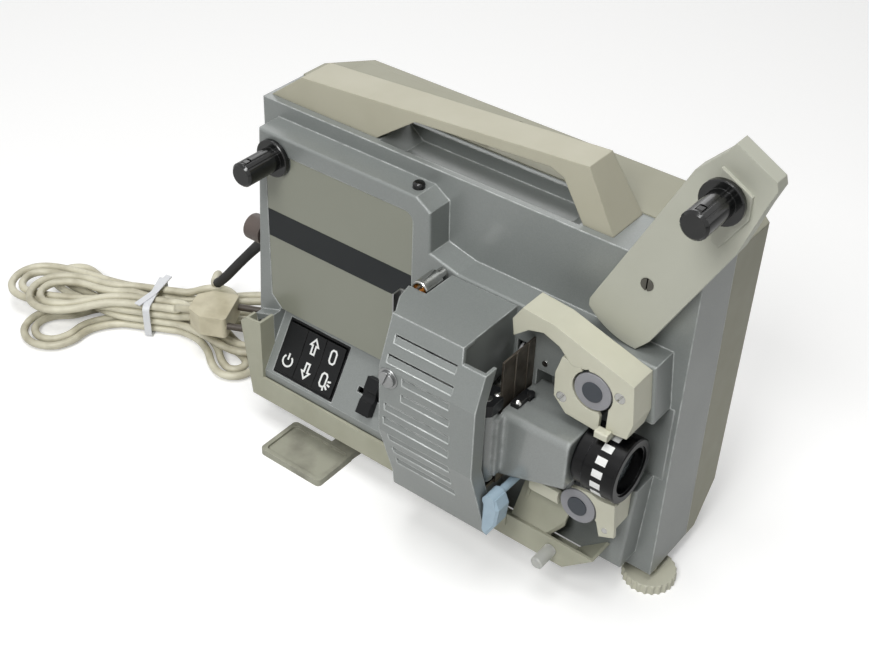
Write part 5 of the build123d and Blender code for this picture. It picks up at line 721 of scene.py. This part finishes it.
# One mark: a thin curved tile that follows the ring, with its outer side's middle near the origin
def markMesh(look):
    steps = look["markSteps"]
    corners, faces = [], []
    for level in (look["radius"] - look["sunk"], look["radius"] + look["proud"]):
        for step in range(steps + 1):
            turn = math.radians(look["markTurn"]) * (step / steps - 0.5)
            for along in (look["markFrom"], look["markTo"]):
                corners.append((along, -level * math.sin(turn), level * math.cos(turn) - look["radius"]))
    count = 2 * (steps + 1)
    for step in range(steps):
        low = 2 * step
        high = count + low
        faces += [(low, low + 1, low + 3, low + 2), (high, high + 2, high + 3, high + 1)]
        faces += [(low, low + 2, high + 2, high), (low + 1, high + 1, high + 3, low + 3)]
    faces += [(0, count, count + 1, 1), (count - 2, count - 1, 2 * count - 1, 2 * count - 2)]
    mesh = bpy.data.meshes.new("markShape")
    mesh.from_pydata([Vector(corner) / 1000 for corner in corners], [], faces)
    return mesh


# A tree that repeats a small shape round an axis along x
def ringTree():
    tree, given = startTree("ringOfShapes", {
        "Shape": "NodeSocketObject", "Count": "NodeSocketInt", "Radius": "NodeSocketFloat",
        "First Turn": "NodeSocketFloat", "Step": "NodeSocketFloat", "Finish": "NodeSocketMaterial",
    })
    order = addNode(tree, "GeometryNodeInputIndex").outputs[0]
    links = {0: order, 1: given["Step"], 2: given["First Turn"]}
    turn = addNode(tree, "ShaderNodeMath", {"operation": "MULTIPLY_ADD"}, links).outputs[0]
    sine = addNode(tree, "ShaderNodeMath", {"operation": "SINE"}, {0: turn}).outputs[0]
    cosine = addNode(tree, "ShaderNodeMath", {"operation": "COSINE"}, {0: turn}).outputs[0]
    across, upward = (
        addNode(tree, "ShaderNodeMath", {"operation": "MULTIPLY"}, {0: part, 1: given["Radius"]}).outputs[0]
        for part in (sine, cosine)
    )
    across = addNode(tree, "ShaderNodeMath", {"operation": "MULTIPLY", 1: -1.0}, {0: across}).outputs[0]
    spot = addNode(tree, "ShaderNodeCombineXYZ", links={1: across, 2: upward}).outputs[0]
    tilt = addNode(tree, "ShaderNodeCombineXYZ", links={0: turn}).outputs[0]
    points = addNode(tree, "GeometryNodePoints", links={"Count": given["Count"], "Position": spot}).outputs[0]
    shape = addNode(tree, "GeometryNodeObjectInfo", links={"Object": given["Shape"]}).outputs["Geometry"]
    links = {"Points": points, "Instance": shape, "Rotation": tilt}
    endTree(tree, addNode(tree, "GeometryNodeInstanceOnPoints", links=links).outputs[0], given["Finish"])
    return tree


markShape = addObject("markShape", markMesh(zoomLook))
markValues = {
    "Shape": markShape, "Count": zoomLook["marks"], "Radius": zoomLook["radius"] / 1000,
    "First Turn": zoomLook["firstTurn"], "Step": 2 * math.pi / zoomLook["marks"],
    "Finish": materials["whitePaint"],
}
zoomMesh = grow("zoomMarks", ringTree(), markValues)
zoomMesh.transform(Matrix.Translation(at(zoomLook["left"], zoomLook["depth"], zoomLook["height"])))
addPiece("zoomMarks", zoomMesh, materials["whitePaint"], "zoom_ring")
bpy.data.objects.remove(markShape)
print("zoom ring marked")


# Operating panel: a dark enamelled band lies across the satin plate, bare
panelBand = {
    "left": 4.1, "right": 96.1, "bottom": 116.2, "top": 132.2, "front": 0.05, "back": 0.25, "edge": 0.04,
}


def bandMesh(look):
    mesh = bpy.data.meshes.new("panelBand")
    shape = bmesh.new()
    low = at(look["left"], look["front"], look["bottom"])
    high = at(look["right"], look["back"], look["top"])
    matrix = Matrix.Translation((low + high) / 2) @ Matrix.Diagonal((*(high - low), 1.0))
    bmesh.ops.create_cube(shape, size=1.0, matrix=matrix)
    bmesh.ops.bevel(shape, geom=shape.edges[:], offset=look["edge"] / 1000, segments=1, affect="EDGES")
    shape.to_mesh(mesh)
    shape.free()
    return mesh


addPiece("panelBand", bandMesh(panelBand), materials["bandEnamel"], "housing")
print("panel banded")


# Keys: white signs printed on the rockers, in mm. A key's face is hollow, so the signs follow its dip
keyFace = {
    "left": 15.6, "width": 12.7, "gap": 0.4, "topOffset": 5.4, "length": 29.0, "wellGap": 0.8, "proud": 1.5,
    "dip": 0.7, "slopeLeft": 9.4, "slopeStep": 5.5, "slopeTop": 70.5, "slopeReach": 13.6, "slopeFoot": 38.67,
}
signLook = {
    "stroke": 1.0, "thick": 0.12, "sunk": 0.2, "mitre": 0.5, "along": 6.6, "ringRadius": 3.1, "lampShift": -1.0,
    "rayTurns": (-75, -45, -15, 15), "rayFrom": 2.8, "rayTo": 4.9, "rayMiddle": (0.2, -0.6),
}
arrowSign = ((0, 4.4), (2.6, 0.9), (1.1, 0.9), (1.1, -3.8), (-1.1, -3.8), (-1.1, 0.9), (-2.6, 0.9))
lampSign = (
    (-1.8, -2.4), (-0.9, -3.6), (0.9, -3.6), (1.8, -2.4), (1.8, 2.4), (0.9, 3.6), (-0.9, 3.6), (-1.8, 2.4),
)
barSign = ((0, 4.2), (0, 0.6))
ringTurns = [math.radians(turn) for turn in range(40, 321, 20)]
ringSign = [Vector((math.sin(turn), math.cos(turn))) * signLook["ringRadius"] for turn in ringTurns]


def keyPoint(across, along, lift):
    half = keyFace["length"] / 2 - keyFace["wellGap"]
    middle = keyFace["topOffset"] + keyFace["length"] / 2
    drop = keyFace["slopeTop"] - keyFace["slopeFoot"]
    outward = Vector((0, -drop, keyFace["slopeStep"] + keyFace["slopeReach"])).normalized()
    upward = Vector((0, outward.z, -outward.y))
    height = keyFace["proud"] - keyFace["dip"] * (1 - abs(along) / half) + lift
    corner = Vector((keyFace["slopeLeft"], keyFace["slopeStep"], keyFace["slopeTop"]))
    point = corner + upward * (along - middle) + outward * height
    return at(across, point.y, point.z)


# A sign is a set of lines, each closed or open, drawn as flat strokes with mitred corners
def signMesh(name, lines, middleAcross, middleAlong):
    mesh = bpy.data.meshes.new(name)
    shape = bmesh.new()
    half = signLook["stroke"] / 2
    top, bottom = signLook["thick"], -signLook["sunk"]
    for line, closed in lines:
        spots = [Vector(spot) for spot in line]
        count = len(spots)
        pairs = []
        for index, spot in enumerate(spots):
            before = spots[index - 1] if closed or index > 0 else spot * 2 - spots[index + 1]
            after = spots[(index + 1) % count] if closed or index < count - 1 else spot * 2 - spots[index - 1]
            wayIn, wayOut = (spot - before).normalized(), (after - spot).normalized()
            side = Vector((-(wayIn + wayOut).y, (wayIn + wayOut).x)).normalized()
            reach = half / max(signLook["mitre"], abs(side.dot(Vector((-wayIn.y, wayIn.x)))))
            pairs.append((spot + side * reach, spot - side * reach))
        rows = []
        for first, second in pairs:
            row = []
            for edge, lift in ((first, top), (second, top), (second, bottom), (first, bottom)):
                row.append(shape.verts.new(keyPoint(middleAcross + edge.x, middleAlong + edge.y, lift)))
            rows.append(row)
        last = count if closed else count - 1
        for index in range(last):
            row, after = rows[index], rows[(index + 1) % count]
            for side in range(4):
                shape.faces.new((row[side], row[(side + 1) % 4], after[(side + 1) % 4], after[side]))
        if not closed:
            shape.faces.new(rows[0])
            shape.faces.new(rows[-1][::-1])
    bmesh.ops.recalc_face_normals(shape, faces=shape.faces)
    shape.to_mesh(mesh)
    shape.free()
    return mesh


def flipped(line):
    return tuple((-x, -y) for x, y in line)


rays = []
for turn in signLook["rayTurns"]:
    way = Vector((math.cos(math.radians(turn)), math.sin(math.radians(turn))))
    ends = [way * reach + Vector(signLook["rayMiddle"]) for reach in (signLook["rayFrom"], signLook["rayTo"])]
    rays.append((ends, False))
# Each sign: its key, the ending of its name, the key's place in the row, shift, place along the key, lines
signs = (
    ("key_motor", "Sign", 0, 0.0, -signLook["along"], ((ringSign, False), (barSign, False))),
    ("key_direction", "Sign", 1, 0.0, signLook["along"], ((arrowSign, True),)),
    ("key_direction", "SignLow", 1, 0.0, -signLook["along"], ((flipped(arrowSign), True),)),
    ("key_lamp", "Sign", 2, 0.0, signLook["along"], ((lampSign, True),)),
    ("key_lamp", "SignLow", 2, signLook["lampShift"], -signLook["along"], ((lampSign, True), *rays)),
)
for keyName, ending, place, shift, along, lines in signs:
    across = keyFace["left"] + place * (keyFace["width"] + keyFace["gap"]) + keyFace["width"] / 2 + shift
    mesh = signMesh(keyName + ending, lines, across, along)
    addPiece(keyName + ending, mesh, materials["whitePaint"], keyName)
print("keys signed")


# Lamp house: a round bead in paler silver runs along the lower edge of each louvre as a painted highlight line,
# on a face with three slants.
# A louvre's shares are its left end, right end and middle height, as parts of the face
louvreLook = {
    "left": 109.8, "length": 60.9, "bottom": 35.0, "rise": 108.5, "height": 4.3, "endRise": 0.75,
    "lipRadius": 0.42, "lipSides": 8,
    "face": ((-40.0, 143.5), (-49.0, 119.5), (-49.0, 81.5), (-34.0, 35.0)),
    "shares": (
        (0.1970, 0.7570, 0.9078), (0.1773, 0.7734, 0.8221), (0.3383, 0.7685, 0.7484), (0.3317, 0.7750, 0.6618),
        (0.1773, 0.7833, 0.5724), (0.1691, 0.7816, 0.4940), (0.2102, 0.7865, 0.4055), (0.2151, 0.7718, 0.3134),
        (0.2151, 0.7849, 0.2313),
    ),
}


# The point of the slanted face at a place along it and a height
def lampFacePoint(along, height):
    face = louvreLook["face"]
    for (frontHigh, high), (frontLow, low) in zip(face, face[1:]):
        if low <= height <= high:
            part = (high - height) / (high - low)
            return at(along, frontHigh + (frontLow - frontHigh) * part, height)
    return at(along, face[-1][0], height)


def lipPaths():
    mesh = bpy.data.meshes.new("lipPaths")
    corners, edges = [], []
    for left, right, up in louvreLook["shares"]:
        middle = louvreLook["bottom"] + up * louvreLook["rise"]
        low = middle - louvreLook["height"] / 2
        high = middle + louvreLook["height"] / 2 * louvreLook["endRise"]
        first, last = (louvreLook["left"] + share * louvreLook["length"] for share in (left, right))
        start = len(corners)
        corners += [lampFacePoint(first, high), lampFacePoint(first, low), lampFacePoint(last, low)]
        edges += [(start, start + 1), (start + 1, start + 2)]
    mesh.from_pydata(corners, edges, [])
    return addObject("lipPaths", mesh)


# A tree that lays a round bead along every edge of a mesh
def beadTree():
    tree, given = startTree("beadsAlongEdges", {
        "Paths": "NodeSocketObject", "Bead Radius": "NodeSocketFloat", "Bead Sides": "NodeSocketInt",
        "Finish": "NodeSocketMaterial",
    })
    paths = addNode(tree, "GeometryNodeObjectInfo", links={"Object": given["Paths"]}).outputs["Geometry"]
    curves = addNode(tree, "GeometryNodeMeshToCurve", links={"Mesh": paths}).outputs[0]
    links = {"Resolution": given["Bead Sides"], "Radius": given["Bead Radius"]}
    profile = addNode(tree, "GeometryNodeCurvePrimitiveCircle", links=links).outputs["Curve"]
    links = {"Curve": curves, "Profile Curve": profile}
    beads = addNode(tree, "GeometryNodeCurveToMesh", {"Fill Caps": True}, links).outputs[0]
    endTree(tree, beads, given["Finish"])
    return tree


lips = lipPaths()
lipValues = {
    "Paths": lips, "Bead Radius": louvreLook["lipRadius"] / 1000, "Bead Sides": louvreLook["lipSides"],
    "Finish": materials["highlightSilver"],
}
lipMesh = grow("louvreLips", beadTree(), lipValues)
addPiece("louvreLips", lipMesh, materials["highlightSilver"], "housing")
bpy.data.objects.remove(lips)
print("louvres lipped")


# Small turned parts: bright screw heads, a rivet in the recess wall and the dot on the framing pin, in mm
turnedParts = {
    "screwWasher": {
        "place": (122.55, -48.9, 114.55), "way": (0, -1, 0), "finish": "springSteel", "body": "housing",
        "profile": ((-0.6, 5.4), (0.5, 5.4), (0.7, 5.2), (0.7, 0)),
    },
    "recessRivet": {
        "place": (174.0, 0.9, 119.5), "way": (0, -1, 0), "finish": "highlightSilver", "body": "housing",
        "profile": ((-0.6, 2.2), (0.3, 2.2), (0.8, 1.5), (0.9, 0)),
    },
    "hingeScrew": {
        "place": (165.6, -24.6, 112.4), "way": (0, 0, 1), "finish": "nickelPlate", "body": "housing",
        "profile": ((-0.4, 1.7), (0.4, 1.7), (0.8, 1.1), (0.9, 0)),
    },
    "fingerScrew": {
        "place": (173.0, -18.6, 107.6), "way": (0.5, -0.6, 0.6), "finish": "nickelPlate", "body": "lens_carrier",
        "profile": ((-0.8, 1.5), (0.8, 1.5), (1.2, 0.9), (1.3, 0)),
    },
    "framingDot": {
        "place": (114.2, -13.2, 140.4), "way": (0, -1, 0), "finish": "amberPaint", "body": "framing_pin",
        "profile": ((-0.4, 0.9), (4.2, 0.9), (4.5, 0.6), (4.6, 0)),
    },
}
turnedSides = 24
for name, look in turnedParts.items():
    closed = ((look["profile"][0][0], 0), *look["profile"])
    mesh = turnedMesh(name, closed, turnedSides, at(*look["place"]), look["way"])
    addPiece(name, mesh, materials[look["finish"]], look["body"])

# Framing pin: a chromed tube with a flared end stands over the thin spindle
framingTube = {
    "x": 115.0, "height": 142.6, "front": -18.0, "back": -0.3, "radius": 4.4, "neck": 3.0, "neckLength": 5.0,
    "rim": 0.4, "bore": 3.4, "boreDepth": 5.0, "sides": 36,
}
tubeLength = framingTube["back"] - framingTube["front"]
tubeProfile = (
    (0, 0), (0, framingTube["neck"]), (framingTube["neckLength"], framingTube["neck"]),
    (framingTube["neckLength"], framingTube["radius"] - framingTube["rim"]),
    (framingTube["neckLength"] + framingTube["rim"], framingTube["radius"]),
    (tubeLength - framingTube["rim"], framingTube["radius"]),
    (tubeLength, framingTube["radius"] - framingTube["rim"]), (tubeLength, framingTube["bore"]),
    (tubeLength - framingTube["boreDepth"], framingTube["bore"] - framingTube["rim"]),
    (tubeLength - framingTube["boreDepth"], 0),
)
tubePlace = at(framingTube["x"], framingTube["back"], framingTube["height"])
tubeMesh = turnedMesh("framingTube", tubeProfile, framingTube["sides"], tubePlace, (0, -1, 0))
addPiece("framingTube", tubeMesh, materials["nickelPlate"], "framing_pin", ("framing_pin",))
print("small parts made")


# Floor, light and backdrop, in metres and watts. All lamps look at the aim
studio = {
    "floorSize": 8.0, "floorColour": "#e9e9e8", "floorRoughness": 0.9, "floorGlow": 0.3, "ambient": 0.14,
    "backdrop": 1.0, "aim": (0, 0, 0.1),
    "lamps": {
        "keyLamp": {"place": (0.16, -0.95, 1.05), "size": 0.45, "watts": 9.6},
        "topLamp": {"place": (0.06, -0.3, 1.7), "size": 0.8, "watts": 14.5},
        "rearLamp": {"place": (-1.0, 1.3, 1.0), "size": 0.9, "watts": 4.0},
    },
}


# White paper with a little glow for the camera alone, so that it stays white to the picture's edge
def makeFloor():
    mesh = bpy.data.meshes.new("floor")
    half = studio["floorSize"] / 2
    corners = [(-half, -half, 0), (half, -half, 0), (half, half, 0), (-half, half, 0)]
    mesh.from_pydata(corners, [], [(0, 1, 2, 3)])
    addObject("floor", mesh)
    material, tree, shader, place = startMaterial("floorPaper")
    shader.inputs["Base Color"].default_value = linearColour(studio["floorColour"])
    shader.inputs["Roughness"].default_value = studio["floorRoughness"]
    shader.inputs["Emission Color"].default_value = (1, 1, 1, 1)
    seen = addNode(tree, "ShaderNodeLightPath").outputs["Is Camera Ray"]
    settings = {"operation": "MULTIPLY", 1: studio["floorGlow"]}
    glow = addNode(tree, "ShaderNodeMath", settings, {0: seen}).outputs[0]
    tree.links.new(glow, shader.inputs["Emission Strength"])
    mesh.materials.append(material)


# White to the camera, to mirrors and through glass; a dim even light to all else
def makeBackdrop():
    world = bpy.data.worlds.new("studio")
    bpy.context.scene.world = world
    world.use_nodes = True
    tree = world.node_tree
    tree.nodes.clear()
    path = addNode(tree, "ShaderNodeLightPath").outputs
    seen = path["Is Camera Ray"]
    for ray in ("Is Transmission Ray", "Is Glossy Ray"):
        seen = addNode(tree, "ShaderNodeMath", {"operation": "MAXIMUM"}, {0: seen, 1: path[ray]}).outputs[0]
    dim, white = (
        addNode(tree, "ShaderNodeBackground", {"Color": (1, 1, 1, 1), "Strength": studio[key]}).outputs[0]
        for key in ("ambient", "backdrop")
    )
    mixed = addNode(tree, "ShaderNodeMixShader", links={0: seen, 1: dim, 2: white}).outputs[0]
    addNode(tree, "ShaderNodeOutputWorld", links={"Surface": mixed})


def makeLamps():
    for name, look in studio["lamps"].items():
        data = bpy.data.lights.new(name, "AREA")
        data.size = look["size"]
        data.energy = look["watts"]
        lamp = addObject(name, data)
        lamp.location = look["place"]
        way = Vector(studio["aim"]) - Vector(look["place"])
        lamp.rotation_euler = way.to_track_quat("-Z", "Y").to_euler()


makeFloor()
makeBackdrop()
makeLamps()
bpy.context.scene.view_settings.view_transform = "Standard"
